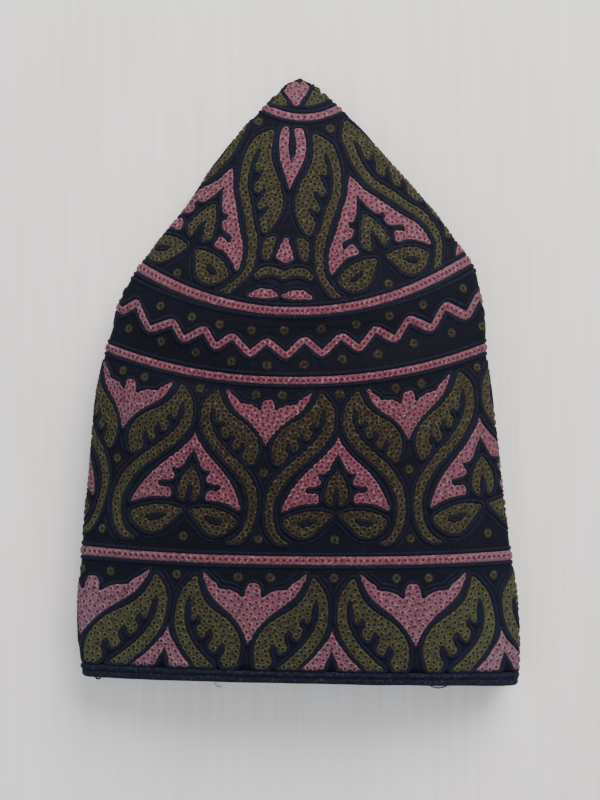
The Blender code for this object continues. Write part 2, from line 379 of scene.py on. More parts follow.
    def add_ripples(self, heights: np.ndarray) -> None:
        """Presses a soft unevenness into the cloth, and fine creases under the crown's seam."""
        shape = self.table.shape[:2]
        rough = np.empty(shape)
        size = 1.0 / self.ripple_size
        for i in range(shape[0]):
            for j in range(0, shape[1], 8):
                x, y, z = self.table[i, j] * size
                rough[i, j:j + 8] = noise.noise(Vector((x, y, z * 2)))
        soft = sum(np.roll(rough, k, axis=1) for k in range(-6, 7)) / 13.0
        fade = np.clip((CROWN_TIP - heights) / 30.0, 0.0, 1.0)[:, None]
        x = self.table[..., 0]
        across = np.clip(1.0 - ((x - CREASES_X) / CREASES_REACH) ** 2, 0.0, 1.0)
        band = np.exp(-(((heights - CREASES_AT) / CREASES_SPREAD) ** 2))[:, None]
        creases = np.sin(heights[:, None] * CREASES_CLOSE + x * CREASES_LEAN)
        front = (self.normals[..., 2] > 0.5) * across * band
        push = soft * self.ripple * 2.0 * fade + creases * front * CREASES_DEPTH
        flat_back = self.normals[..., 2] < -0.5
        push = np.where(flat_back, 0.0, push)
        self.table = self.table + self.normals * push[..., None]

    def read(self, grid: np.ndarray, share: np.ndarray, height: np.ndarray) -> np.ndarray:
        """Values of a table at places on the cloth.

        Args:
            grid: loops by columns by values.
            share: how far round the cap, from the front's middle to the right, -0.5 to 0.5.
            height: above the rim, along the cloth.

        Returns:
            One row of values for each place.
        """
        column = np.mod(share, 1.0) * self.columns
        left = np.floor(column).astype(int)
        t = (column - left)[:, None]
        left %= self.columns
        right = (left + 1) % self.columns
        row = np.clip(height / self.step, 0.0, len(grid) - 1.001)
        low = np.floor(row).astype(int)
        s = (row - low)[:, None]
        lower = grid[low, left] * (1 - t) + grid[low, right] * t
        upper = grid[low + 1, left] * (1 - t) + grid[low + 1, right] * t
        return lower * (1 - s) + upper * s

    def place(self, share: np.ndarray, height: np.ndarray, lift: np.ndarray | float) -> np.ndarray:
        """Points of the cap, in the rows' own frame.

        Args:
            share: how far round the cap.
            height: above the rim, along the cloth.
            lift: above the cloth's outside face.

        Returns:
            X, Y and Z, shape (n, 3).
        """
        share, height = np.asarray(share, float), np.asarray(height, float)
        lifts = np.broadcast_to(np.asarray(lift, float), share.shape)[:, None]
        points = self.read(self.table, share, height) + self.directions(share, height) * lifts
        points[:, 2] = np.maximum(points[:, 2], 0.02)
        return points

    def directions(self, share: np.ndarray, height: np.ndarray) -> np.ndarray:
        """Outward unit vectors at places on the cloth."""
        return unit(self.read(self.normals, np.asarray(share, float), np.asarray(height, float)))

    def at_height(self, values: np.ndarray, height: np.ndarray | float) -> np.ndarray:
        """One of the loops' own values, such as their length, at any height."""
        return np.interp(height, np.arange(len(values)) * self.step, values)


def in_metres(points: np.ndarray) -> np.ndarray:
    """Points from the rows' own frame in millimetres to the part's frame in metres."""
    moved = np.array(points, float)
    moved[:, 0] -= CENTRE[0]
    moved[:, 1] -= CENTRE[1]
    return moved * MM


class Thread(Enum):
    """The thread that a motif is worked in."""

    ROSE = "rose"
    OLIVE = "olive"


class Symmetry(Enum):
    """How a charted half becomes the whole motif."""

    JOINED = "joined"   # the half and its mirror image share one outline
    PAIR = "pair"       # two separate shapes, mirror images of each other
    ALONE = "alone"     # one shape, drawn whole


class Motif(NamedTuple):
    """One embroidered shape of the repeat, read off the photograph."""

    name: str
    thread: Thread
    symmetry: Symmetry
    centre: float                   # 0 on the repeat's centre line, 0.5 on its edge
    outline: tuple
    holes: tuple = ()


# The side wall's chart. x is in picture pixels from the repeat's centre line, and y is in picture
# pixels below the line above the band. One pixel is about 0.3 mm.
WALL_MOTIFS = (
    Motif("rose_arch", Thread.ROSE, Symmetry.JOINED, 0.0, (
        (0, 56), (2.7, 63), (7.5, 69), (14.8, 77.6), (22, 84.2), (29.3, 91), (37.2, 99.4),
        (43.3, 107.3), (48.1, 115.2), (52.4, 124.2), (54.5, 131.5), (50.5, 129.7), (42.7, 126),
        (34.2, 123.9), (25.7, 122.7), (19, 122.4), (17.8, 121.2), (18.2, 115.2), (20.2, 113.3),
        (27.5, 113.3), (31.5, 110.9), (31.2, 107.9), (26.9, 106.7), (20.8, 106.1), (16.6, 103.6),
        (16, 101.2), (18.4, 97.6), (19.6, 93.9), (14.8, 93.6), (9.9, 91.5), (7.5, 87.3),
        (4.5, 81.2), (2.1, 77), (0, 72.7))),
    Motif("olive_heart_leaf", Thread.OLIVE, Symmetry.JOINED, 0.0, (
        (0, 90.3), (2.7, 93.3), (6.3, 98.2), (9, 103.6), (10.9, 110.3), (11.4, 115.2), (9.9, 120),
        (4.5, 125.5), (3.6, 120), (3, 114), (1.7, 109.1), (0, 106))),
    Motif("olive_eye_leaf", Thread.OLIVE, Symmetry.PAIR, 0.0, (
        (3.3, 133.3), (9.9, 131.5), (18.4, 130.3), (26.9, 130.3), (35.4, 132.1), (43.9, 135.2),
        (50.5, 138.8), (52.6, 141.2), (51.8, 144.8), (47.5, 149.7), (40.2, 154.5), (33, 156.6),
        (25.7, 155.2), (19.6, 150.9), (13.6, 144.8), (8.1, 139.4)), ((
            (18.7, 138.8), (23.3, 138.2), (31.8, 139.4), (37.8, 141.8), (39, 144.2), (34.2, 146.7),
            (28.1, 146.1), (22.7, 143), (19.6, 140.6)),)),
    Motif("olive_frond", Thread.OLIVE, Symmetry.PAIR, 0.0, (
        (19.6, 11.9), (23, 20), (26.9, 27.3), (32.4, 33.3), (39, 38.2), (46.3, 42.4), (53.6, 47.3),
        (59.6, 53.3), (63.9, 60), (65.9, 67.9), (65.1, 76.4), (62.7, 83), (60.8, 85.8), (56, 83),
        (51.2, 78.8), (50.3, 75.2), (52.4, 70.3), (51.8, 65.5), (48.7, 63), (46.9, 66.7),
        (44.8, 70.9), (40.8, 69.1), (38.8, 65.5), (40.8, 61.8), (41.2, 57), (37.8, 52.7),
        (36, 54.5), (34.2, 58.2), (31.5, 60.4), (28.1, 56.4), (26.9, 52.1), (29.9, 48.5),
        (28.7, 44.2), (26.3, 42.4), (25.1, 44.2), (22.7, 47), (20.2, 43), (19.4, 37.6),
        (17.8, 31.5), (16.2, 28.5), (14.2, 30.3), (13.3, 37.6), (14.2, 44.8), (17.2, 52.1),
        (22.1, 59.4), (28.7, 66.7), (36.6, 73.9), (44.5, 80.6), (51.8, 87.3), (58.4, 95.2),
        (63.9, 103), (68.1, 112.1), (70.3, 121.2), (71.2, 130.9), (70.3, 141.2), (67.5, 150.3),
        (62.7, 158.2), (56.6, 163), (49.9, 163.4), (44.5, 162.4), (51.2, 159.4), (56.6, 153.9),
        (60.2, 146.7), (62.1, 138.2), (62.7, 129.7), (61.5, 121.2), (58.4, 112.7), (54.2, 104.8),
        (48.1, 97), (41.5, 90.3), (33.6, 83.6), (25.7, 76.4), (18.4, 69.7), (12.4, 62.4),
        (7.5, 54.5), (4.8, 46.1), (4.5, 37.6), (5.3, 30.3), (8.1, 23.6), (12.4, 18.2),
        (16.6, 13.9))),
    Motif("rose_palmette", Thread.ROSE, Symmetry.JOINED, 0.5, (
        (0, 65.5), (4, 58), (8.5, 51.5), (14, 45.5), (20, 40.5), (27, 35.5), (34, 29.5),
        (38.5, 23), (41.5, 16), (43.3, 11), (39.5, 13.5), (37, 16), (31, 20), (28.5, 23.5),
        (22, 24.4), (17.5, 25), (12, 27.5), (8.5, 30), (6.8, 29.5), (6.3, 25), (4.8, 21),
        (2.5, 19.3), (0, 18.9))),
)
WALL_SUNS = ((0.0, 0.0, 14.0), (0.5, 13.2, 14.5), (0.5, -13.2, 14.5), (0.5, 0.0, 93.5),
             (0.5, 0.0, 158.8), (0.0, 0.0, 158.8))   # centre, x, y of single eyelets
WALL_PERIODS = ((0.0, 141.0), (59.0, 145.0), (109.0, 148.0), (130.0, 150.5), (159.0, 153.0),
                (179.0, 156.0))                      # y, width of one repeat in pixels
BRIM_PERIODS = ((0.0, 156.0), (40.0, 161.5), (104.0, 171.0))
# In the brim's band a motif is wider by the first factor at its centre line and by the second at
# 50 pixels from it, and lies this many pixels higher.
BRIM_SPREADS = {"rose_palmette": (1.22, 1.22, 1.6), "rose_arch": (1.2, 1.2, 4.0),
                "olive_frond": (1.0, 1.16, -0.5), "suns": (1.2, 1.2, 1.0)}

# How the side wall's repeats lie on the front panel, each row a height above the rim.
WALL_CENTRES = ((0.0, 9.3), (41.0, 10.2), (75.0, 11.2), (119.5, 12.4))  # and X of the centre line
WALL_WIDTHS = ((0.0, 52.5), (7.0, 51.6), (28.0, 48.5), (41.0, 46.8), (48.0, 45.8), (66.0, 44.2),
               (84.0, 43.2), (105.5, 42.0), (119.5, 41.6))              # and a repeat's width
LEFT_STRETCH = ((0.0, 0.27), (30.0, 0.30), (45.0, 0.35), (55.0, 0.34), (73.0, 0.25),
                (90.0, 0.18), (105.0, 0.13), (127.0, 0.08))     # and its growth to the left

# Section of the bound rim: depth inside the cloth's outside face, and height above the rim.
BINDING_PROFILE = ((1.0, 0.0), (0.2, 0.08), (-0.5, 0.45), (-0.85, 1.15), (-0.62, 1.95),
                   (-0.08, 2.35), (-0.5, 2.7), (-0.72, 3.25), (-0.45, 3.85), (0.1, 4.15),
                   (1.9, 4.15), (2.4, 3.0), (2.4, 1.3), (1.7, 0.15))

# The zigzag has four waves in a repeat. Each row is a wave, how far to the right of its place it
# lies, in waves, and how far above its row, in millimetres.
WAVES = 4
PEAKS = ((-8, 0, 0), (-7, -0.3, -0.8), (-6, -0.2, 2.0), (-5, 0.03, 0.2), (-4, 0, 0.4),
         (-3, -0.15, -0.4), (-2, -0.15, -1.2), (-1, -0.06, -0.4), (0, 0, 0.2), (1, 0, 0.85),
         (2, 0, 1.7), (3, 0.08, 2.1), (4, 0.12, 1.0), (6, 0, 0))
TROUGHS = ((-7.5, 0, 1.7), (-6.5, -0.3, 6.0), (-5.5, -0.17, 3.4), (-4.5, -0.12, 3.0),
           (-3.5, -0.15, 2.5), (-2.5, -0.12, 1.3), (-1.5, -0.06, 1.1), (-0.5, -0.04, 1.7),
           (0.5, 0.04, 2.5), (1.5, 0.12, 3.8), (2.5, 0.19, 4.6), (3.5, 0.24, 4.6), (6, 0, 1.7))
UPPER_SUNS = ((-8, 0, 0), (-6.5, -0.5, 0.5), (-5.5, 0.1, 0.6), (-4.5, 0.1, 0.2),
              (-3.5, -0.06, -0.2), (-2.5, -0.1, -0.9), (-1.5, -0.15, -0.2), (-0.5, -0.08, 0),
              (0.5, -0.06, 0.3), (1.5, -0.08, 1.2), (2.5, -0.07, 1.6), (3.5, 0.14, 1.5), (6, 0, 0))
LOWER_SUNS = ((-9, 0, 0), (-7, -0.6, 1.0), (-6, -0.4, 3.4), (-5, -0.28, 2.5), (-4, -0.21, 1.5),
              (-3, -0.14, 0.4), (-2, -0.1, 0), (-1, -0.05, 0.4), (0, 0.05, 1.4), (1, 0.1, 1.9),
              (2, 0.15, 3.2), (3, 0.26, 3.4), (6, 0, 0))

# The star at the point, in picture pixels from the picture's corner.
STAR_MOTIFS = (
    Motif("rose_star", Thread.ROSE, Symmetry.ALONE, 0.0, (
        (291.5, 82), (302, 80), (308.3, 89.5), (302, 99), (297.5, 105.8), (294.5, 105.8),
        (290.5, 99), (283.6, 90.5), (287, 85.5))),
    Motif("olive_star_petal_right", Thread.OLIVE, Symmetry.ALONE, 0.0, (
        (315, 88.8), (323, 92.8), (330.5, 100), (318, 103.4), (304.2, 105.6), (309.3, 97))),
    Motif("olive_star_petal_left", Thread.OLIVE, Symmetry.ALONE, 0.0, (
        (281, 93.5), (285.8, 99.5), (287, 105), (276.5, 104.6), (269, 104.3), (274, 99))),
)

# The crown's chart, in picture pixels from the picture's corner. It is half a repeat, from the
# line through the upright drop to the line through the heart beside it.
CROWN_MOTIFS = (
    Motif("rose_drop_open", Thread.ROSE, Symmetry.ALONE, 0.0, (
        (294.9, 128.6), (298, 127.9), (302.6, 128.6), (304.5, 134.8), (306, 141.6), (306, 148.5),
        (304.5, 157.7), (301, 166.1), (296.4, 175.3), (292.6, 182.2), (289.2, 189.9), (287.6, 183),
        (284.9, 174.6), (282.3, 165.4), (280, 156.2), (279.2, 145.5), (279.6, 137), (281.5, 130.2),
        (284.2, 126.3), (287.6, 126.7), (289.6, 131.3), (289.2, 137), (288.4, 144.7),
        (288.8, 152.4), (290.3, 160), (292.2, 163.1), (294.1, 157.7), (296.0, 152.4),
        (296.6, 144.7), (295.6, 138.6), (294.5, 132.5))),
    Motif("olive_crown_frond", Thread.OLIVE, Symmetry.PAIR, 0.0, (
        (312.5, 134), (312.9, 140.9), (313.3, 148.5), (313.3, 155.4), (311.4, 163.1),
        (308.7, 169.2), (304.8, 176.8), (301, 183.7), (298.9, 191.4), (296.1, 198.6),
        (295.3, 206.5), (296.1, 212.9), (298.1, 219.3), (301.3, 226.5), (304.5, 231.2),
        (307.7, 234.8), (311.7, 234), (313.7, 229.6), (314.9, 223.3), (313.3, 218.5),
        (310.1, 214.5), (308.1, 208.9), (310.1, 208.1), (313.3, 209.7), (317.3, 212.5),
        (320, 208.9), (319.6, 205.7), (317.3, 201.7), (314.9, 198.6), (313.7, 195.4),
        (313.7, 191.8), (316.5, 191.8), (320.4, 194.6), (322.8, 197), (324.8, 193), (325.6, 188.2),
        (322.4, 183.7), (320.2, 179.1), (318.6, 174.5), (320.9, 173.8), (325.5, 176.1),
        (327, 170.7), (326.3, 165.4), (324.4, 160), (324.4, 154.7), (325.9, 151.6), (327.8, 154.7),
        (329.7, 160), (331.6, 166.1), (332.8, 172.3), (333.5, 179.1), (333.2, 186.8), (332, 195.4),
        (329.2, 202.5), (326.4, 209.7), (324, 217.7), (322, 224.9), (319.2, 232.8), (316.5, 239.2),
        (315.3, 247.2), (315.3, 256.7), (315.7, 264.7), (317.3, 272.7), (319.6, 279.9),
        (323.6, 286.2), (328.4, 292.6), (334, 299), (338, 299.4), (346.7, 297.4), (340.4, 295.4),
        (335.6, 290.2), (330.8, 284.6), (326.8, 278.3), (324, 271.1), (323.2, 263.1),
        (323.2, 255.2), (324, 247.2), (326, 239.2), (329.2, 229.6), (330.8, 223.3), (334, 214.5),
        (337.2, 205.7), (340, 197), (341.2, 189), (341.2, 179.1), (340.8, 170), (338.9, 160.8),
        (336.2, 152.4), (333.2, 146.2), (330.1, 142.4), (324.7, 138.6), (318.6, 135.1))),
    Motif("rose_low_drop", Thread.ROSE, Symmetry.ALONE, 0.0, (
        (285.8, 236.8), (288.2, 240.8), (289.7, 245.6), (292.1, 252.8), (293.3, 258.3),
        (290.9, 261.1), (285, 262.7), (280.6, 260.7), (275.8, 256), (278.2, 251.2),
        (281.4, 244))),
    Motif("olive_low_drop", Thread.OLIVE, Symmetry.PAIR, 0.0, (
        (297.3, 238.4), (301.3, 238), (305.7, 240), (308.5, 244), (308.9, 250.4), (308.5, 256.7),
        (306.9, 260.7), (302.9, 260.7), (300.5, 256.7), (298.9, 250.4), (297.3, 243.2))),
    Motif("olive_bracket", Thread.OLIVE, Symmetry.JOINED, 0.0, (
        (283.6, 271), (289.3, 269), (297.3, 267.8), (305.3, 268.6), (310.5, 272.5), (312.6, 278),
        (311, 281), (307.5, 278.6), (303, 276.2), (296.5, 275.4), (289.3, 276.4),
        (283.6, 278.9))),
    Motif("rose_low_arc", Thread.ROSE, Symmetry.PAIR, 0.0, (
        (281.4, 296.2), (285.4, 293.4), (290.9, 290.6), (297.3, 290.2), (304.5, 291),
        (309.3, 294.2), (313.7, 299.4), (305.3, 299.8), (294.9, 299.4), (287, 297.8))),
    Motif("rose_crown_heart", Thread.ROSE, Symmetry.JOINED, 0.5, (
        (348.5, 176.1), (348.3, 185), (347.9, 192.2), (345.6, 200.9), (342.8, 208.9),
        (340.8, 216.9), (338, 226.5), (334.8, 236), (332, 244), (330, 248.8), (329.2, 256.7),
        (329.2, 264.7), (330.4, 271.1), (331.6, 275.5), (334.8, 271.1), (338.8, 266.3),
        (343.6, 260.7), (349.1, 256.7), (355.5, 255.2), (358.7, 252.8), (357.1, 248.8),
        (354.7, 245.2), (351.5, 244.4), (348.3, 246), (345.9, 248.8), (343.6, 248.8),
        (341.6, 244.8), (342.8, 242.4), (348.3, 239.2), (352.3, 236), (353.5, 232),
        (352.3, 228.8), (349.1, 227.3), (347.9, 224.1), (349.1, 222.1), (352.3, 221.7),
        (354.7, 219.3), (355.5, 215.3), (356.7, 208.1), (356.7, 200.9), (355.5, 194.6))),
    Motif("olive_heart_leaf", Thread.OLIVE, Symmetry.JOINED, 0.5, (
        (363.9, 212.9), (362.3, 217.7), (361.1, 224.9), (361.1, 232.8), (361.5, 239.2),
        (362.7, 246.4), (367.5, 248.8), (371.9, 251.2), (371.1, 244), (370.3, 236.8),
        (370.3, 231.2), (371.5, 229.6))),
    Motif("olive_crown_eye", Thread.OLIVE, Symmetry.PAIR, 0.5, (
        (376.6, 259.1), (370.7, 258.7), (362.7, 260.3), (354.7, 263.5), (347.5, 267.9),
        (342.8, 273.5), (338.8, 280.7), (342.8, 286.2), (349.9, 290.6), (356.3, 291),
        (363.5, 288.6), (369.1, 283.9), (372.3, 276.7), (374.7, 269.5), (376.6, 263.1)), ((
            (349.5, 281.1), (351.5, 277.5), (356.3, 273.5), (361.9, 271.1), (365.1, 271.1),
            (362.7, 275.9), (358.7, 279.9), (353.9, 282.3)),)),
)
CROWN_SUNS = ((332.0, 127.5), (388.6, 283.5))    # the eyelet near the ring, and the low one
HEART_AXIS = ((332.0, 127.5), (348.5, 176.1), (388.6, 283.5))   # down the middle of the heart
DROP_AXIS = ((297.0, 84.0), (291.0, 175.0), (284.0, 276.0), (280.0, 297.0))  # and of the drops


def table_value(rows: tuple, at: np.ndarray | float) -> np.ndarray:
    """A value read from a short table of (place, value) rows, straight between them."""
    places, values = zip(*rows)
    return np.interp(at, places, values)


@dataclass
class Repeats:
    """How a band's pattern goes round the cap, and how it lies on the front panel."""

    form: ClothForm
    count: int                  # repeats round the cap
    centres: tuple              # (height, X of the front repeat's centre line)
    widths: tuple               # (height, width of a repeat on the front panel)
    stretch: float = 0.0        # more width to the right, where the panel turns away
    left_stretch: tuple = ((0.0, 0.0),)   # (height, the same to the left)
    reach: float = 1.5          # repeats from the centre line to the side folds
    even_right: float = 0.3     # repeats from the centre line to where the stretch sets in
    even_left: float = 0.9
    tucked: tuple = ()          # repeats that lie inside the side pleats

    def start(self, height: np.ndarray) -> np.ndarray:
        """How far round the cap the centre line of the front repeat is."""
        form = self.form
        shift = form.at_height(form.shifts, height)
        return (table_value(self.centres, height) - shift) / form.at_height(form.around, height)

    def width(self, height: np.ndarray) -> np.ndarray:
        """Width of a front repeat, as a share of the way round."""
        return table_value(self.widths, height) / self.form.at_height(self.form.around, height)

    def share(self, turns: np.ndarray, height: np.ndarray) -> np.ndarray:
        """How far round the cap a place of the pattern is.

        Args:
            turns: repeats to the right of the front repeat's centre line.
            height: above the rim, along the cloth.

        Returns:
            Shares of the way round.
        """
        half = self.count / 2
        turns = np.mod(np.asarray(turns, float) + half, self.count) - half
        size = np.abs(turns)
        more = np.where(turns > 0, self.stretch, table_value(self.left_stretch, height))
        first = np.where(turns > 0, self.even_right, self.even_left)
        unit = self.width(height)
        near = np.minimum(size, self.reach)
        front = unit * (near + more * np.maximum(near - first, 0.0) ** 2)
        edge = unit * (self.reach + more * (self.reach - first) ** 2)
        beyond = np.maximum(size - self.reach, 0.0) / (half - self.reach)
        return self.start(height) + np.sign(turns) * (front + (0.5 - edge) * beyond)

    def turns(self, share: np.ndarray, height: np.ndarray) -> np.ndarray:
        """The place of the pattern at a share of the way round, on the front panel."""
        return (share - self.start(height)) / self.width(height)

    def place(self, turns: np.ndarray, height: np.ndarray, lift: np.ndarray | float) -> np.ndarray:
        """Points of the cap for places of the pattern."""
        return self.form.place(self.share(turns, height), height, lift)

    def directions(self, turns: np.ndarray, height: np.ndarray) -> np.ndarray:
        """Outward unit vectors for places of the pattern."""
        return self.form.directions(self.share(turns, height), height)


def find_on_front(form: ClothForm, spots: np.ndarray) -> np.ndarray:
    """Where picture positions lie on the front panel.

    Args:
        form: the folded cloth.
        spots: picture x and y in pixels, shape (n, 2).

    Returns:
        Share of the way round and height of each, shape (n, 2).
    """
    reach = form.columns // 5
    columns = np.arange(-reach, reach)
    points = form.table[:, columns]
    seen = LENS.picture(points.reshape(-1, 3)).reshape(*points.shape[:2], 2)
    hidden = (form.normals[:, columns, 2] < 0.1) * 1e4
    places = []
    for spot in spots:
        away = np.hypot(seen[..., 0] - spot[0], seen[..., 1] - spot[1]) + hidden
        i, j = np.unravel_index(int(np.argmin(away)), away.shape)
        places.append((columns[j] / form.columns, i * form.step))
    found = np.array(places, float)
    nudge_share, nudge_height, above = 0.001, 0.5, 0.2

    def seen_at(share: np.ndarray, height: np.ndarray) -> np.ndarray:
        """Where places just above the cloth appear."""
        return LENS.picture(form.place(share, height, above))

    for _ in range(3):
        here = seen_at(found[:, 0], found[:, 1])
        side = seen_at(found[:, 0] + nudge_share, found[:, 1]) - here
        rise = seen_at(found[:, 0], found[:, 1] + nudge_height) - here
        miss = spots - here
        size = side[:, 0] * rise[:, 1] - side[:, 1] * rise[:, 0]
        size = np.where(np.abs(size) < 1e-6, 1e-6, size)
        across = (miss[:, 0] * rise[:, 1] - miss[:, 1] * rise[:, 0]) / size
        along = (side[:, 0] * miss[:, 1] - side[:, 1] * miss[:, 0]) / size
        found[:, 0] += np.clip(across, -3.0, 3.0) * nudge_share
        found[:, 1] += np.clip(along, -3.0, 3.0) * nudge_height
    found[:, 1] = np.clip(found[:, 1], 0.0, CROWN_TIP - 0.5)
    return found


@dataclass
class WallChart:
    """A flat chart of one repeat of a band of the side wall, in millimetres."""

    repeats: Repeats
    top: float          # height of the chart's first line
    fall: float         # millimetres of height for each pixel down
    periods: tuple      # (pixels down, width of one repeat in pixels)
    width: float        # of one repeat in this flat chart
    bottom: float       # the band ends at this height
    spreads: dict = field(default_factory=dict)     # changes to single motifs, by name

    def cloth_place(self, spots: np.ndarray, centre: float, name: str = "") -> np.ndarray:
        """Turns and height of chart points, given in pixels.

        Args:
            spots: chart x and y.
            centre: of the motif, in turns.
            name: of the motif, which this band may draw wider, or higher up.

        Returns:
            Turns and height of each.
        """
        near, far, up = self.spreads.get(name, (1.0, 1.0, 0.0))
        wider = near + (far - near) * np.minimum(np.abs(spots[:, 0]) / 50.0, 1.0)
        down = spots[:, 1] - up
        turns = centre + spots[:, 0] * wider / table_value(self.periods, down)
        return np.stack([turns, self.top - down * self.fall], 1)

    def suns(self, spots: tuple, name: str = "") -> np.ndarray:
        """Flat points of single eyelets, each given as (centre, x, y)."""
        return np.array([self.flat(self.cloth_place(np.array([(x, y)]), centre, name))[0]
                         for centre, x, y in spots])

    def flat(self, places: np.ndarray) -> np.ndarray:
        """Flat millimetres from turns and height."""
        return places * (self.width, 1.0)

    def cloth(self, flat: np.ndarray) -> np.ndarray:
        """Turns and height from flat millimetres."""
        return flat / (self.width, 1.0)

    def cut(self, loop: np.ndarray) -> np.ndarray:
        """An outline cut off straight where the band ends."""
        kept = []
        for here, after in zip(loop, np.roll(loop, -1, axis=0)):
            if here[1] >= self.bottom:
                kept.append(here)
            if (here[1] >= self.bottom) != (after[1] >= self.bottom):
                t = (self.bottom - here[1]) / (after[1] - here[1])
                kept.append(here + (after - here) * t)
        return np.array(kept)


@dataclass
class CrownChart:
    """The crown's flat disc, of which the chart draws half a repeat."""

    repeats: Repeats

    def cloth_place(self, spots: np.ndarray, _centre: float, _name: str = "") -> np.ndarray:
        """Turns and height of chart points, given as picture positions."""
        found = find_on_front(self.repeats.form, spots)
        return np.stack([self.repeats.turns(found[:, 0], found[:, 1]), found[:, 1]], 1)

    def flat(self, places: np.ndarray) -> np.ndarray:
        """Flat millimetres on the disc from turns and height."""
        radius = CROWN_TIP - places[:, 1]
        angle = places[:, 0] * 2 * math.pi / self.repeats.count
        return np.stack([radius * np.sin(angle), -radius * np.cos(angle)], 1)

    def cloth(self, flat: np.ndarray) -> np.ndarray:
        """Turns and height from flat millimetres on the disc."""
        radius = np.hypot(flat[:, 0], flat[:, 1])
        angle = np.arctan2(flat[:, 0], -flat[:, 1])
        return np.stack([angle * self.repeats.count / 2 / math.pi, CROWN_TIP - radius], 1)

    def cut(self, loop: np.ndarray) -> np.ndarray:
        """The disc's motifs end by themselves."""
        return loop


Chart = WallChart | CrownChart


@dataclass
class Shape:
    """One motif in the flat: an outline that runs anticlockwise, and its holes."""

    thread: Thread
    outline: np.ndarray
    holes: list[np.ndarray]

    def loops(self) -> list[np.ndarray]:
        """The outline and the holes."""
        return [self.outline, *self.holes]


def signed_area(loop: np.ndarray) -> float:
    """Area of a loop, positive when it runs anticlockwise."""
    after = np.roll(loop, -1, axis=0)
    return float(np.sum(loop[:, 0] * after[:, 1] - after[:, 0] * loop[:, 1]) / 2)


def smoothed(loop: np.ndarray, spacing: float) -> np.ndarray:
    """A closed outline drawn as smooth curves through its points, with sharp corners kept.

    Args:
        loop: the outline's points.
        spacing: between the points of the result.

    Returns:
        The denser outline.
    """
    before, after = np.roll(loop, 1, axis=0), np.roll(loop, -1, axis=0)
    arrive, leave = loop - before, after - loop
    lengths = np.maximum(np.hypot(*leave.T), 1e-6)
    turn = np.abs(np.arctan2(arrive[:, 0] * leave[:, 1] - arrive[:, 1] * leave[:, 0],
                             np.sum(arrive * leave, axis=1)))
    tangent = after - before
    tangent /= np.maximum(np.hypot(*tangent.T), 1e-6)[:, None]
    sharp = math.radians(75)
    tangent *= np.where(turn > sharp, 0.0, 1.0)[:, None]
    points = []
    for i, start in enumerate(loop):
        j = (i + 1) % len(loop)
        steps = max(1, round(lengths[i] / spacing))
        points += [hermite(t, start, loop[j], lengths[i], tangent[i], tangent[j])
                   for t in np.arange(steps) / steps]
    return np.array(points)


def inside(points: np.ndarray, loops: list[np.ndarray]) -> np.ndarray:
    """Which points lie in a shape, its holes left out."""
    odd = np.zeros(len(points), bool)
    for loop in loops:
        for a, b in zip(loop, np.roll(loop, -1, axis=0)):
            if a[1] == b[1]:
                continue
            crosses = (a[1] > points[:, 1]) != (b[1] > points[:, 1])
            x = a[0] + (points[:, 1] - a[1]) / (b[1] - a[1]) * (b[0] - a[0])
            odd ^= crosses & (points[:, 0] < x)
    return odd


def distances(points: np.ndarray, loops: list[np.ndarray]) -> tuple[np.ndarray, np.ndarray]:
    """How far points are from the nearest outline point, and the way there.

    Args:
        points: flat points.
        loops: outlines with closely spaced points.

    Returns:
        Distances, and vectors from the outline to the points.
    """
    outline = np.concatenate(loops)
    away = points[:, None, :] - outline[None, :, :]
    size = np.hypot(away[..., 0], away[..., 1])
    nearest = np.argmin(size, axis=1)
    rows = np.arange(len(points))
    return size[rows, nearest], away[rows, nearest]


def shapes_of(chart: Chart, motifs: tuple, spacing: float) -> list[Shape]:
    """The motifs of one repeat, as smooth flat shapes.

    Args:
        chart: the band's flat chart.
        motifs: the motifs as they were read off.
        spacing: between the points of an outline.

    Returns:
        The shapes, mirror images among them.
    """
    shapes = []
    for motif in motifs:
        drawn = [chart.cloth_place(np.array(loop, float), motif.centre, motif.name)
                 for loop in (motif.outline, *motif.holes)]
        if motif.symmetry is Symmetry.JOINED:
            half = drawn[0]
            half[[0, -1], 0] = motif.centre
            mirrored = (half * (-1.0, 1.0) + (2 * motif.centre, 0.0))[-2:0:-1]
            versions = [[np.concatenate([half, mirrored])]]
        elif motif.symmetry is Symmetry.PAIR:
            mirrored = [loop * (-1.0, 1.0) + (2 * motif.centre, 0.0) for loop in drawn]
            versions = [drawn, mirrored]
        else:
            versions = [drawn]
        for loops in versions:
            flat = [chart.cut(chart.flat(loop)) for loop in loops]
            flat = [loop for loop in flat if len(loop) > 2 and abs(signed_area(loop)) > 0.5]
            if not flat:
                continue
            dense = [smoothed(loop, spacing) for loop in flat]
            dense = [loop if signed_area(loop) > 0 else loop[::-1] for loop in dense]
            shapes.append(Shape(motif.thread, dense[0], dense[1:]))
    return shapes


def linked(name: str, data: bpy.types.ID) -> bpy.types.Object:
    """A new object in the scene."""
    made = bpy.data.objects.new(name, data)
    bpy.context.scene.collection.objects.link(made)
    return made


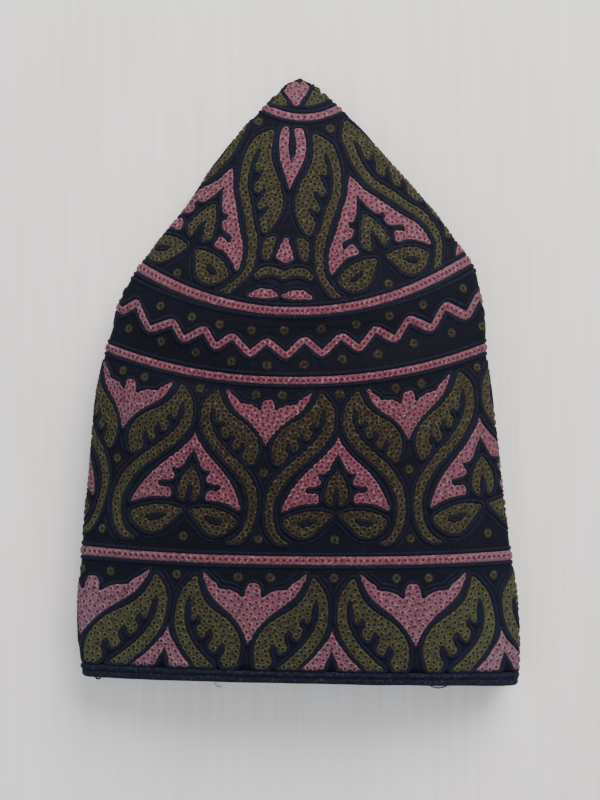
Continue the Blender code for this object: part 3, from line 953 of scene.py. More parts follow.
class Skin:
    """Points and faces gathered for one mesh, in the rows' own frame."""

    def __init__(self) -> None:
        """Starts with nothing."""
        self.points: list[np.ndarray] = []
        self.faces: list[tuple[int, ...]] = []
        self.count = 0

    def add(self, points: np.ndarray, faces: np.ndarray) -> None:
        """Adds a patch, whose faces number its own points.

        Args:
            points: shape (n, 3).
            faces: shape (m, 3) or (m, 4).
        """
        self.faces += [tuple(face) for face in (faces + self.count).tolist()]
        self.points.append(points)
        self.count += len(points)

    def piece(self, name: str, weld: bool = False) -> bpy.types.Object:
        """A finished object at the origin, in metres.

        Args:
            name: the piece's name.
            weld: join points that lie on each other.

        Returns:
            The object, linked to the scene.
        """
        data = bpy.data.meshes.new(name)
        data.from_pydata(in_metres(np.concatenate(self.points)), [], self.faces)
        if weld:
            mesh = bmesh.new()
            mesh.from_mesh(data)
            bmesh.ops.remove_doubles(mesh, verts=mesh.verts, dist=1e-6)
            loose = [vertex for vertex in mesh.verts if not vertex.link_faces]
            bmesh.ops.delete(mesh, geom=loose, context="VERTS")
            mesh.to_mesh(data)
            mesh.free()
        data.shade_smooth()
        return linked(name, data)


def strip_faces(rings: int, width: int, closed: bool = False) -> np.ndarray:
    """Quads between neighbouring rings of points, width points in each ring."""
    last = rings if closed else rings - 1
    i, j = np.meshgrid(np.arange(last), np.arange(width - 1), indexing="ij")
    here, there = i * width + j, ((i + 1) % rings) * width + j
    return np.stack([here, here + 1, there + 1, there], axis=-1).reshape(-1, 4)


def round_faces(rings: int, columns: int, closed: bool) -> np.ndarray:
    """Quads between loops of points that each close on themselves."""
    wrap = np.arange(rings if closed else rings - 1)
    here, there = wrap * columns, ((wrap + 1) % rings) * columns
    seam = np.stack([here + columns - 1, here, there, there + columns - 1], 1)
    return np.concatenate([strip_faces(rings, columns, closed), seam])


@dataclass
class Sweep:
    """A narrow form drawn along a line of the flat chart, such as a cord of satin stitch."""

    profile: tuple      # (across, lift), from the line's left to its right

    def add(self, skin: Skin, chart: Chart, line: np.ndarray, widths: np.ndarray,
            closed: bool, turns: tuple) -> None:
        """Adds the form to a mesh, once for each repeat.

        Args:
            skin: the mesh.
            chart: the flat chart.
            line: flat points of the centre line.
            widths: half width at each point.
            closed: the line's end meets its start.
            turns: the repeats that get it.
        """
        across, lifts = np.array(self.profile).T
        reach = (across[None, :] * widths[:, None])[..., None]
        flat = line[:, None, :] + rightward(line, closed)[:, None, :] * reach
        lift = (lifts[None, :] * np.minimum(widths / 0.6, 1.0)[:, None]).reshape(-1)
        faces = strip_faces(len(line), len(lifts), closed)[:, ::-1]
        ring = np.repeat(np.arange(len(faces) // (len(lifts) - 1)), len(lifts) - 1)
        shown = widths > 0.05
        faces = faces[shown[ring] | shown[(ring + 1) % len(line)]]
        spread(skin, chart, flat.reshape(-1, 2), lift, faces, turns)


CONTOUR = Sweep(((-1.0, -0.14), (-0.7, 0.12), (0.0, 0.25), (0.7, 0.12), (1.0, -0.14)))
CORD = Sweep(((-1.0, -0.12), (-0.72, 0.24), (0.0, 0.42), (0.72, 0.24), (1.0, -0.12)))
LINE_GROUND = Sweep(((-1.0, -0.1), (-0.96, 0.04), (-0.7, 0.15), (0.0, 0.16), (0.7, 0.15),
                     (0.96, 0.04), (1.0, -0.1)))


def spread(skin: Skin, chart: Chart, flat: np.ndarray, lift: np.ndarray, faces: np.ndarray,
           turns: tuple) -> None:
    """Lays a flat form on the cloth, once for each repeat.

    Args:
        skin: the mesh.
        chart: the flat chart.
        flat: the form's points.
        lift: of each point above the cloth.
        faces: between the points.
        turns: the repeats that get it.
    """
    places = chart.cloth(flat)
    for k in turns:
        skin.add(chart.repeats.place(places[:, 0] + k, places[:, 1], lift), faces)


def pad(skin: Skin, chart: Chart, shape: Shape, turns: tuple) -> None:
    """Fills a motif with its ground of stitches, once for each repeat.

    Args:
        skin: the mesh.
        chart: the flat chart.
        shape: the motif.
        turns: the repeats that get it.
    """
    loops = shape.loops()
    low, high = shape.outline.min(0), shape.outline.max(0)
    spacing, clear, rounding, floor, rise = 1.5, 0.55, 0.5, 0.02, 0.14
    xs = np.arange(low[0], high[0], spacing)
    ys = np.arange(low[1], high[1], spacing * 0.87)
    grid = np.array([(x + (i % 2) * spacing / 2, y) for i, y in enumerate(ys) for x in xs])
    if len(grid):
        grid = grid[inside(grid, loops)]
    if len(grid):
        grid = grid[distances(grid, loops)[0] > clear]
    outline = np.concatenate(loops)
    edges, start = [], 0
    for loop in loops:
        n = len(loop)
        edges += [(start + i, start + (i + 1) % n) for i in range(n)]
        start += n
    points = np.concatenate([outline, grid]) if len(grid) else outline
    done = geometry.delaunay_2d_cdt([Vector(p) for p in points.tolist()], edges, [], 0, 1e-4)
    flat = np.array([tuple(v) for v in done[0]])
    faces = np.array(done[2])
    middles = flat[faces].mean(axis=1)
    faces = faces[inside(middles, loops)]
    a, b, c = (flat[faces[:, k]] for k in range(3))
    turned = (b[:, 0] - a[:, 0]) * (c[:, 1] - a[:, 1]) < (b[:, 1] - a[:, 1]) * (c[:, 0] - a[:, 0])
    faces[turned] = faces[turned][:, ::-1]
    away = distances(flat, loops)[0]
    lift = floor + rise * np.clip(away / rounding, 0.0, 1.0)
    spread(skin, chart, flat, lift, faces, turns)


def relaxed(shape: Shape, pitch: float, margin: float, seed: int) -> np.ndarray:
    """Evenly spread eyelets in a motif, with its outer row along the outline.

    Args:
        shape: the motif.
        pitch: between the eyelets' middles.
        margin: from the outline to the outer row.
        seed: for the starting places.

    Returns:
        Flat points.
    """
    loops = shape.loops()
    low, high = shape.outline.min(0), shape.outline.max(0)
    area = signed_area(shape.outline) - sum(abs(signed_area(hole)) for hole in shape.holes)
    inner, nearest, crowded, edge = margin * 0.55, pitch * 0.62, pitch * 0.74, margin * 1.25
    steps, sorting, settling = 110, (30, 50), 50
    packing, tight, loose, edge_push, pace = 0.98, 1.06, 1.3, 1.1, 0.6
    wanted = max(1, round(area / (pitch * pitch * packing)))
    random = np.random.default_rng(seed)
    tries = random.uniform(low, high, (wanted * 40, 2))
    tries = tries[inside(tries, loops)]
    far = distances(tries, loops)[0] if len(tries) else np.zeros(0)
    tries = tries[far > inner]
    if not len(tries):
        return np.zeros((0, 2))
    chosen = [tries[0]]
    for _ in range(min(wanted, len(tries)) - 1):
        gaps = np.min(np.hypot(*(tries[:, None] - np.array(chosen)[None]).transpose(2, 0, 1)), 1)
        best = int(np.argmax(gaps))
        if gaps[best] < nearest:
            break
        chosen.append(tries[best])
    points = np.array(chosen)
    for turn in range(steps):
        if turn in sorting:
            apart_enough: list[np.ndarray] = []
            for point in points:
                if all(math.dist(point, other) > crowded for other in apart_enough):
                    apart_enough.append(point)
            points = np.array(apart_enough)
        apart = points[:, None] - points[None]
        size = np.hypot(apart[..., 0], apart[..., 1]) + np.eye(len(points)) * 1e3
        reach = pitch * (tight if turn < settling else loose)
        push = np.clip(1.0 - size / reach, 0.0, 1.0)
        move = np.sum(apart / size[..., None] * push[..., None], axis=1) * 0.5
        gap, away = distances(points, loops)
        near = np.clip(1.0 - gap / edge, 0.0, 1.0)[:, None]
        move += away / np.maximum(gap, 1e-6)[:, None] * near * edge_push
        moved = points + move * pace
        kept = inside(moved, loops)
        points[kept] = moved[kept]
    return points


@dataclass
class Eyelets:
    """Places and directions of one kind of eyelet, gathered for one mesh."""

    places: list[np.ndarray] = field(default_factory=list)
    facing: list[np.ndarray] = field(default_factory=list)
    sizes: list[np.ndarray] = field(default_factory=list)
    along: list[np.ndarray] = field(default_factory=list)

    def add(self, points: np.ndarray, facing: np.ndarray, sizes: np.ndarray) -> None:
        """Adds eyelets.

        Args:
            points: their middles, in the rows' own frame.
            facing: the way each one faces.
            sizes: how large each one is, 1 being the usual size.
        """
        self.places.append(points)
        self.facing.append(facing)
        self.sizes.append(sizes)

    def cloud(self, name: str) -> bpy.types.Object:
        """Loose points that carry the directions and sizes."""
        data = bpy.data.meshes.new(name)
        points = in_metres(np.concatenate(self.places))
        data.from_pydata(points, [], [])
        facing = data.attributes.new("facing", "FLOAT_VECTOR", "POINT")
        facing.data.foreach_set("vector", np.concatenate(self.facing).astype(np.float32).ravel())
        size = data.attributes.new("size", "FLOAT", "POINT")
        size.data.foreach_set("value", np.concatenate(self.sizes).astype(np.float32))
        if self.along:
            along = data.attributes.new("along", "FLOAT_VECTOR", "POINT")
            along.data.foreach_set("vector", np.concatenate(self.along).astype(np.float32).ravel())
        return linked(name, data)


class Nodes:
    """A node tree under construction."""

    tree: bpy.types.NodeTree

    def put(self, socket: bpy.types.NodeSocket, value: object) -> None:
        """Links or sets one socket."""
        if isinstance(value, Value):
            value = value.socket
        if isinstance(value, bpy.types.NodeSocket):
            self.tree.links.new(value, socket)
        else:
            socket.default_value = value

    def node(self, kind: str, settings: dict | None = None, **values: object) -> bpy.types.Node:
        """A node, its settings made first and then its sockets, with spaces for underscores."""
        made = self.tree.nodes.new(kind)
        for key, value in (settings or {}).items():
            setattr(made, key, value)
        for key, value in values.items():
            self.put(made.inputs[key.replace("_", " ")], value)
        return made


class Tree(Nodes):
    """A Geometry Nodes tree under construction."""

    def __init__(self, name: str) -> None:
        """An empty tree that takes and gives a mesh."""
        self.tree = bpy.data.node_groups.new(name, "GeometryNodeTree")
        face = self.tree.interface
        face.new_socket("Geometry", in_out="OUTPUT", socket_type="NodeSocketGeometry")
        self.sockets = {"Points": face.new_socket("Points", in_out="INPUT",
                                                  socket_type="NodeSocketGeometry").identifier}
        self.given = self.tree.nodes.new("NodeGroupInput")
        self.end = self.tree.nodes.new("NodeGroupOutput")

    def size(self, name: str, kind: str = "NodeSocketFloat") -> bpy.types.NodeSocket:
        """A named input."""
        made = self.tree.interface.new_socket(name, in_out="INPUT", socket_type=kind)
        self.sockets[name] = made.identifier
        return self.given.outputs[name]

    def maths(self, kind: str, first: object, second: object) -> bpy.types.NodeSocket:
        """The result of one Math node."""
        made = self.node("ShaderNodeMath", {"operation": kind})
        self.put(made.inputs[0], first)
        self.put(made.inputs[1], second)
        return made.outputs[0]

    def finish(self, shape: bpy.types.NodeSocket, material: bpy.types.Material,
               lined_up: bool = False) -> None:
        """Sets one shape on every point, makes it real and gives it its material.

        Args:
            shape: the shape, which stands up along Z.
            material: its finish.
            lined_up: its X axis follows the points' own "along" attribute, not a chance turn.
        """
        facing = self.node("GeometryNodeInputNamedAttribute", {"data_type": "FLOAT_VECTOR"},
                           Name="facing")
        size = self.node("GeometryNodeInputNamedAttribute", {"data_type": "FLOAT"}, Name="size")
        upright = self.node("FunctionNodeAlignRotationToVector", {"axis": "Z"},
                            Vector=facing.outputs[0])
        spin = self.node("FunctionNodeRandomValue", {"data_type": "FLOAT"}, Seed=self.size(
            "Seed", "NodeSocketInt"))
        spin.inputs[3].default_value = 2 * math.pi
        turn = self.node("FunctionNodeAxisAngleToRotation", Angle=spin.outputs[1])
        if lined_up:
            along = self.node("GeometryNodeInputNamedAttribute", {"data_type": "FLOAT_VECTOR"},
                              Name="along")
            both = self.node("FunctionNodeAlignRotationToVector",
                             {"axis": "X", "pivot_axis": "Z"},
                             Rotation=upright.outputs[0], Vector=along.outputs[0])
        else:
            both = self.node("FunctionNodeRotateRotation", {"rotation_space": "LOCAL"},
                             Rotation=upright.outputs[0], Rotate_By=turn.outputs[0])
        many = self.node("GeometryNodeInstanceOnPoints", Points=self.given.outputs["Points"],
                         Instance=shape, Rotation=both.outputs[0], Scale=size.outputs[0])
        real = self.node("GeometryNodeRealizeInstances", Geometry=many.outputs[0])
        smooth = self.node("GeometryNodeSetShadeSmooth", Geometry=real.outputs[0])
        dressed = self.node("GeometryNodeSetMaterial", Geometry=smooth.outputs[0],
                            Material=material)
        self.tree.links.new(dressed.outputs[0], self.end.inputs[0])

    def apply(self, cloud: bpy.types.Object, name: str, values: dict) -> bpy.types.Object:
        """Runs the tree on loose points and gives a plain mesh.

        Args:
            cloud: the points.
            name: the finished piece's name.
            values: named inputs and their values.

        Returns:
            The finished piece, with no modifier.
        """
        modifier = cloud.modifiers.new("stitch", "NODES")
        modifier.node_group = self.tree
        for key, value in values.items():
            modifier[self.sockets[key]] = value
        graph = bpy.context.evaluated_depsgraph_get()
        data = bpy.data.meshes.new_from_object(cloud.evaluated_get(graph))
        data.name = name
        for attribute in ("facing", "size", "along"):
            if attribute in data.attributes:
                data.attributes.remove(data.attributes[attribute])
        old = cloud.data
        bpy.data.objects.remove(cloud)
        bpy.data.meshes.remove(old)
        return linked(name, data)


def ring_tree(name: str, material: bpy.types.Material, rays: bool = False) -> Tree:
    """A tree that works a raised ring of thread round each hole.

    Args:
        name: the tree's name.
        material: the thread.
        rays: the outer edge is drawn out in single stitches.

    Returns:
        The tree.
    """
    tree = Tree(name)
    sides = tree.size("Sides", "NodeSocketInt")
    outer, crest, hole = (tree.size(k) for k in ("Outer radius", "Crest radius", "Hole radius"))
    rise, dip = tree.size("Rise"), tree.size("Dip")
    slope = tree.node("GeometryNodeMeshCone", {"fill_type": "NONE"}, Vertices=sides,
                      Radius_Top=crest, Radius_Bottom=outer, Depth=rise)
    shape = slope.outputs["Mesh"]
    if rays:
        odd = tree.maths("MODULO", tree.node("GeometryNodeInputIndex").outputs[0], 2.0)
        spot = tree.node("GeometryNodeInputPosition").outputs[0]
        level = tree.node("ShaderNodeSeparateXYZ", Vector=spot).outputs["Z"]
        low = tree.maths("LESS_THAN", level, 0.00001)
        pulled = tree.node("ShaderNodeVectorMath", {"operation": "SCALE"}, Scale=-0.3)
        tree.put(pulled.inputs[0], spot)
        shape = tree.node("GeometryNodeSetPosition", Geometry=shape,
                          Selection=tree.maths("MULTIPLY", odd, low),
                          Offset=pulled.outputs[0]).outputs[0]
    wall = tree.node("GeometryNodeMeshCone", {"fill_type": "NONE"}, Vertices=sides,
                     Radius_Top=crest, Radius_Bottom=hole, Depth=dip)
    inner = tree.node("GeometryNodeFlipFaces", Mesh=wall.outputs["Mesh"])
    upward = tree.node("ShaderNodeCombineXYZ", Z=tree.maths("SUBTRACT", rise, dip))
    raised = tree.node("GeometryNodeTransform", Geometry=inner.outputs[0],
                       Translation=upward.outputs[0])
    both = tree.node("GeometryNodeJoinGeometry")
    for part in (shape, raised.outputs[0]):
        tree.put(both.inputs[0], part)
    merged = tree.node("GeometryNodeMergeByDistance", Geometry=both.outputs[0], Distance=1e-6)
    tree.finish(merged.outputs[0], material)
    return tree


def stitch_tree(name: str, material: bpy.types.Material) -> Tree:
    """A tree that lays one short rounded stitch at each point."""
    tree = Tree(name)
    bead = tree.node("GeometryNodeMeshUVSphere", Segments=6, Rings=4, Radius=1.0)
    size = tree.node("ShaderNodeCombineXYZ", X=tree.size("Half length"), Y=tree.size("Half width"),
                     Z=tree.size("Half height"))
    long = tree.node("GeometryNodeTransform", Geometry=bead.outputs[0], Scale=size.outputs[0])
    tree.finish(long.outputs[0], material, lined_up=True)
    return tree


def hole_shade_tree(name: str, material: bpy.types.Material) -> Tree:
    """A tree that sets a small dark disc of painted shade at the bottom of each hole."""
    tree = Tree(name)
    disc = tree.node("GeometryNodeMeshCircle", {"fill_type": "NGON"},
                     Vertices=tree.size("Sides", "NodeSocketInt"), Radius=tree.size("Radius"))
    tree.finish(disc.outputs[0], material)
    return tree


def tint(red: int, green: int, blue: int) -> tuple[float, float, float, float]:
    """A colour as a screen shows it, turned into the shader's own scale."""
    def linear(value: int) -> float:
        """One channel."""
        part = value / 255
        return part / 12.92 if part <= 0.04045 else ((part + 0.055) / 1.055) ** 2.4
    return (linear(red), linear(green), linear(blue), 1.0)


class Value:
    """A number that varies over a surface, on which Python's operators add Math nodes."""

    def __init__(self, paint: Paint, socket: bpy.types.NodeSocket) -> None:
        """Wraps a socket of one material."""
        self.paint, self.socket = paint, socket

    def _math(self, kind: str, first: object, second: object, clamp: bool = False) -> Value:
        """One Math node."""
        made = self.paint.node("ShaderNodeMath", {"operation": kind, "use_clamp": clamp})
        for socket, value in zip(made.inputs, (first, second)):
            self.paint.put(socket, value)
        return Value(self.paint, made.outputs[0])

    def __add__(self, other: Value | float) -> Value:
        """self + other."""
        return self._math("ADD", self, other)

    __radd__ = __add__

    def __sub__(self, other: Value | float) -> Value:
        """self - other."""
        return self._math("SUBTRACT", self, other)

    def __rsub__(self, other: float) -> Value:
        """other - self."""
        return self._math("SUBTRACT", other, self)

    def __mul__(self, other: Value | float) -> Value:
        """self * other."""
        return self._math("MULTIPLY", self, other)

    __rmul__ = __mul__

    def __abs__(self) -> Value:
        """The size of self."""
        return self._math("ABSOLUTE", self, 0.0)

    def clamped(self) -> Value:
        """self, kept from 0 to 1."""
        return self._math("ADD", self, 0.0, clamp=True)


class Paint(Nodes):
    """A material under construction, on Object coordinates."""

    def __init__(self, name: str, roughness: float, sheen: float) -> None:
        """A matt cotton surface.

        Args:
            name: the material's name.
            roughness: how matt it is.
            sheen: how much fuzz shows against the light.
        """
        self.material = bpy.data.materials.new(name)
        self.material.use_nodes = True
        self.tree = self.material.node_tree
        self.shader = self.tree.nodes["Principled BSDF"]
        for socket, value in (("Roughness", roughness), ("Sheen Weight", sheen),
                              ("Sheen Roughness", 0.45), ("Specular IOR Level", 0.1)):
            self.shader.inputs[socket].default_value = value
        self.spot = self.node("ShaderNodeTexCoord").outputs["Object"]
        parts = self.node("ShaderNodeSeparateXYZ", Vector=self.spot)
        self.x, self.y = (Value(self, parts.outputs[k]) for k in "XY")

    def noise(self, size: float, detail: float = 2.0) -> Value:
        """Soft noise whose features are about this size, in millimetres."""
        made = self.node("ShaderNodeTexNoise", Vector=self.spot, Scale=1.0 / (size * MM),
                         Detail=detail)
        return Value(self, made.outputs[0])

    def mixed(self, share: Value, first: object, second: object) -> bpy.types.NodeSocket:
        """Two colours mixed."""
        made = self.node("ShaderNodeMix", {"data_type": "RGBA"})
        for socket, value in zip((0, 6, 7), (share, first, second)):
            self.put(made.inputs[socket], value)
        return made.outputs[2]

    def finish(self, colour: bpy.types.NodeSocket, height: Value, depth: float) -> None:
        """Joins the colour and the bump to the shader.

        Args:
            colour: the base colour.
            height: the relief, 0 to 1.
            depth: of the relief, in millimetres.
        """
        bump = self.node("ShaderNodeBump", Height=height, Distance=depth * MM, Strength=1.0)
        self.tree.links.new(bump.outputs[0], self.shader.inputs["Normal"])
        self.tree.links.new(colour, self.shader.inputs["Base Color"])


# Painted light on the thread: paler towards the folds, the point and the brim as painted sheen.
SIDE_SHEEN = 15.0                # the thread pales with each metre away from the middle
TOP_SHEEN = (0.012, 13.0)        # and above this Y, by so much for each metre
BRIM_SHEEN = (-0.040, 24.0)      # and below this one


@dataclass(frozen=True)
class Cotton:
    """Embroidery thread, deeper in the middle and paler at the edges: painted shade and sheen."""

    name: str
    deep: tuple                 # in the middle of the side wall
    sheen_and_patch_tone: tuple                 # painted sheen at the folds, the brim and the point, and random patches
    dark: tuple                 # painted shade where the thread relief is low, and random blots
    light: tuple                # where a thread catches the light
    thread: float = 0.42        # width of one thread
    relief: float = 0.10
    roughness: float = 0.82
    sheen: float = 0.12
    mottle_and_glints: float = 0.5         # how much the thread varies at random, and how strong its painted glints are

    def material(self) -> bpy.types.Material:
        """The finished material."""
        paint = Paint(self.name, self.roughness, self.sheen)
        # Painted sheen at the edges, painted shade in the middle, and random patches of tone.
        side = (abs(paint.x) * SIDE_SHEEN).clamped()
        top = ((paint.y - TOP_SHEEN[0]) * TOP_SHEEN[1]).clamped()
        brim = ((BRIM_SHEEN[0] - paint.y) * BRIM_SHEEN[1]).clamped()
        patches = paint.noise(7.0) - 0.5
        painted_sheen_and_patches = (side * side * 0.55 + top * 0.52 + brim * 0.5 + patches * 0.35).clamped()
        base = paint.mixed(painted_sheen_and_patches, tint(*self.deep), tint(*self.sheen_and_patch_tone))
        threads = paint.noise(self.thread, 3.0)
        blots = paint.noise(1.1, 2.0)
        # Darker where the thread relief is low, which is painted shade, and in random blots.
        shade = ((0.56 - threads) * 1.6 + (0.5 - blots) * 2.6 * self.mottle_and_glints
                 + (paint.noise(2.6) - 0.5) * 0.5).clamped()
        # Painted glints where a thread catches the light.
        glints = ((paint.noise(0.85, 1.0) - 0.54) * 6.0 * self.mottle_and_glints).clamped()
        colour = paint.mixed(shade, base, tint(*self.dark))
        paint.finish(paint.mixed(glints * 0.6, colour, tint(*self.light)), threads, self.relief)
        return paint.material


ROSE = Cotton("rose_cotton", (104, 59, 68), (117, 87, 96), (53, 24, 36), (145, 114, 121),
              mottle_and_glints=1.1)
OLIVE = Cotton("olive_cotton", (50, 38, 28), (73, 74, 50), (16, 13, 10), (92, 87, 64),
               mottle_and_glints=1.1)
# The grounds under the eyelets are a little darker than the rings: painted shade in the gaps.
ROSE_SHADED_BED = Cotton("rose_ground_shaded_cotton", (94, 51, 61), (110, 80, 90), (46, 21, 32),
                  (138, 102, 112), mottle_and_glints=1.0)
OLIVE_SHADED_BED = Cotton("olive_ground_shaded_cotton", (40, 31, 23), (60, 62, 42), (14, 12, 10),
                   (75, 72, 53), mottle_and_glints=1.0)
NAVY = Cotton("navy_satin_cotton", (15, 15, 28), (21, 22, 38), (5, 5, 11), (32, 34, 51),
              thread=0.5, relief=0.12, roughness=0.8, sheen=0.03, mottle_and_glints=0.6)
# The cloth is darker than the satin cords: partly its own tone, partly painted shade in the
# grooves.
GROUND = Cotton("navy_ground_cotton", (10, 10, 20), (15, 15, 29), (4, 4, 10), (21, 21, 36),
                relief=0.12, sheen=0.02)
BINDING = Cotton("navy_binding_cotton", (16, 17, 29), (22, 24, 38), (5, 5, 11), (48, 52, 68),
                 thread=0.6, relief=0.24, roughness=0.85, sheen=0.04, mottle_and_glints=0.8)
# The discs in the eyelet holes: painted shade standing in for the depth of each hole.
ROSE_HOLE_SHADE = Cotton("rose_eyelet_hole_shade", (74, 22, 38), (84, 34, 48), (40, 12, 24), (92, 40, 54),
                   mottle_and_glints=0.3)
OLIVE_HOLE_SHADE = Cotton("olive_eyelet_hole_shade", (20, 18, 16), (26, 26, 22), (10, 10, 12), (34, 32, 26),
                    mottle_and_glints=0.3)


def floor_material() -> bpy.types.Material:
    """A pale painted board with an upright wood grain."""
    paint = Paint("pale_board", 0.55, 0.0)

    def streaks(across: float, along: float) -> Value:
        """Upright streaks about this wide and this long, in millimetres."""
        drawn = paint.node("ShaderNodeMapping", Vector=paint.spot,
                           Scale=(1.0 / (across * MM), 1.0 / (along * MM), 1.0))
        return Value(paint, paint.node("ShaderNodeTexNoise", Vector=drawn.outputs[0], Scale=1.0,
                                       Detail=3.0).outputs[0])

    grain = streaks(2.4, 60.0)
    clouds = streaks(26.0, 160.0)
    shade = ((grain - 0.5) * 1.5 + (clouds - 0.5) * 1.3 + 0.5).clamped()
    colour = paint.mixed(shade, tint(238, 229, 221), tint(253, 246, 239))
    paint.finish(colour, grain, 0.02)
    return paint.material


@dataclass(frozen=True)
class EyeletSize:
    """Sizes of one kind of eyelet, in millimetres."""

    outer: float = 1.02
    crest: float = 0.74
    hole: float = 0.44
    rise: float = 0.30
    dip: float = 0.24
    disc: float = 0.54          # the dark disc of painted shade at the bottom
    disc_lift: float = 0.09
    seed: int = 3

    def inputs(self, sides: int) -> dict:
        """Named inputs of a ring tree."""
        return {"Sides": sides, "Outer radius": self.outer * MM, "Crest radius": self.crest * MM,
                "Hole radius": self.hole * MM, "Rise": self.rise * MM, "Dip": self.dip * MM,
                "Seed": self.seed}


FILLING = EyeletSize()
RAYED = EyeletSize(1.65, 0.90, 0.38, disc=0.5, disc_lift=0.08, seed=5)
SIDES = {"front": 8, "back": 6, "pleat": 5}     # of an eyelet's ring, where it lies on the cap


@dataclass
class Stitchery:
    """The meshes that the embroidery is gathered in, one for each thread and kind of stitch."""

    chart_steps: float = 0.8    # between points of an outline
    ring_lift: float = 0.1      # of the eyelets above the cloth
    sun_lift: float = 0.06
    front_share: float = 0.2    # the front panel reaches this far round from its middle
    back_share: float = 0.36    # the back begins this far round
    cord_reach: float = 0.72    # from a line's edge to the middle of its cord
    cord_half: float = 0.62
    cord_near: tuple = (0.3, 0.74)      # least and most from an outline to its cord's middle
    cord_thin: tuple = (0.2, 0.64)      # least and most half width of such a cord
    second_reach: float = 2.15          # from an outline to the middle of its second cord
    second_free: float = 1.75           # that cord needs this much room beside it
    pads: dict = field(default_factory=dict)
    cords: dict = field(default_factory=dict)
    eyelets: dict = field(default_factory=dict)
    rays: Eyelets = field(default_factory=Eyelets)

    def ring(self, thread: Thread, repeats: Repeats, places: np.ndarray, size: float) -> None:
        """Adds eyelets to the mesh of their thread and of the part of the cap that they lie on."""
        shares = repeats.share(places[:, 0], places[:, 1])
        points = repeats.form.place(shares, places[:, 1], self.ring_lift)
        facing = repeats.form.directions(shares, places[:, 1])
        inner = np.abs(np.mod(shares + 0.5, 1.0) - 0.5)
        front = (facing[:, 2] > 0.0) & (inner < self.front_share)
        back = (facing[:, 2] < -0.3) & (inner > self.back_share)
        for part, mask in (("front", front), ("back", back), ("pleat", ~(front | back))):
            if mask.any():
                store = self.eyelets.setdefault((thread, part), Eyelets())
                store.add(points[mask], facing[mask], np.full(int(mask.sum()), size))

    def suns(self, repeats: Repeats, places: np.ndarray) -> None:
        """Adds single eyelets, each with its rays."""
        shares = repeats.share(places[:, 0], places[:, 1])
        self.rays.add(repeats.form.place(shares, places[:, 1], self.sun_lift),
                      repeats.form.directions(shares, places[:, 1]), np.ones(len(places)))

    def band(self, name: str, chart: Chart, motifs: tuple, suns: np.ndarray, pitch: float,
             turns: tuple | None = None) -> None:
        """Works one band of motifs right round the cap.

        Args:
            name: of the band.
            chart: its flat chart.
            motifs: its motifs.
            suns: flat points of the single eyelets.
            pitch: between the eyelets that fill a motif.
            turns: the repeats that get the motifs, if not all of them.
        """
        shapes = shapes_of(chart, motifs, self.chart_steps)
        everything = [loop for shape in shapes for loop in shape.loops()]
        beside: list[np.ndarray] = []
        if turns is None:
            turns = tuple(range(chart.repeats.count))
            beside = [chart.flat(chart.cloth(loop) + (float(side), 0.0))
                      for side in (-1, 1) for loop in everything]
        for number, shape in enumerate(shapes):
            pad(self.pads.setdefault((name, shape.thread), Skin()), chart, shape, turns)
            spots = relaxed(shape, pitch, pitch / 2, seed=number)
            if len(spots):
                places = chart.cloth(spots)
                sizes = np.clip(distances(spots, shape.loops())[0] * 2 / pitch, 0.7, 1.0)
                for size in (0.75, 0.88, 1.0):
                    chosen = places[np.abs(sizes - size) <= 0.065]
                    for k in turns if len(chosen) else ():
                        self.ring(shape.thread, chart.repeats, chosen + (float(k), 0.0), size)
            for loop in shape.loops():
                others = [other for other in everything if other is not loop] + beside
                self.outline_cord(name, chart, loop, loop is shape.outline, others, turns)
        if len(suns):
            places = chart.cloth(suns)
            for k in turns:
                self.suns(chart.repeats, places + (float(k), 0.0))
        LOG.info("%s: %d shapes in each of %d repeats", name, len(shapes), len(turns))

    def outline_cord(self, name: str, chart: Chart, loop: np.ndarray, outer: bool,
                     others: list[np.ndarray], turns: tuple) -> None:
        """Lays the satin cord that hugs one outline, and a second one where there is room.

        Args:
            name: of the band.
            chart: its flat chart.
            loop: the outline, or a hole.
            outer: it is an outline.
            others: every other outline and hole of the repeat.
            turns: the repeats that get it.
        """
        away = rightward(loop, True) * (1.0 if outer else -1.0)
        room = np.full(len(loop), 3.0)
        neighbours = [other for other in others if len(other) > 2]
        if neighbours:
            room = np.minimum(room, distances(loop + away * 0.9, neighbours)[0] + 0.75)
        own = distances(loop + away * 0.8, [loop])[0]
        room = np.minimum(room, own / 0.8 * 1.6)
        offset = smooth_loop(np.clip(room / 2, *self.cord_near), 2)
        widths = smooth_loop(np.clip(room / 2 - 0.08, *self.cord_thin), 2)
        line = smooth_loop(loop + away * offset[:, None], 1)
        on_wall = isinstance(chart, WallChart)
        if on_wall:
            line[:, 1] = np.maximum(line[:, 1], chart.bottom - 0.2)
        else:
            radius = np.maximum(np.hypot(*line.T), 1e-6)
            line *= np.minimum(1.0, (CROWN_TIP - CROWN_CORDS) / radius)[:, None]
        tucked = tuple(k for k in turns if k in chart.repeats.tucked)
        shown = tuple(k for k in turns if k not in tucked)
        skin = self.cords.setdefault(name, Skin())
        CORD.add(skin, chart, line, widths, True, shown)
        CORD.add(skin, chart, line[::2], widths[::2], True, tucked)
        if not outer or not neighbours:
            return
        line = smooth_loop(loop + away * self.second_reach, 3)
        free = distances(line, neighbours)[0]
        if on_wall:
            free = np.minimum(free, chart.top - 2.0 - line[:, 1])
            free = np.minimum(free, line[:, 1] - chart.bottom)
        else:
            free = np.minimum(free, CROWN_TIP - CROWN_SECOND - np.hypot(*line.T))
        shown_here = (free > self.second_free) & (distances(line, [loop])[0] > 1.9)
        widths = np.where(shown_here, self.cord_half, 0.0)
        for _ in range(4):
            widths = np.minimum(widths, (np.roll(widths, 1) + np.roll(widths, -1)) / 2 + 0.02)
        CONTOUR.add(skin, chart, line, np.maximum(widths, 0.03), True, shown)

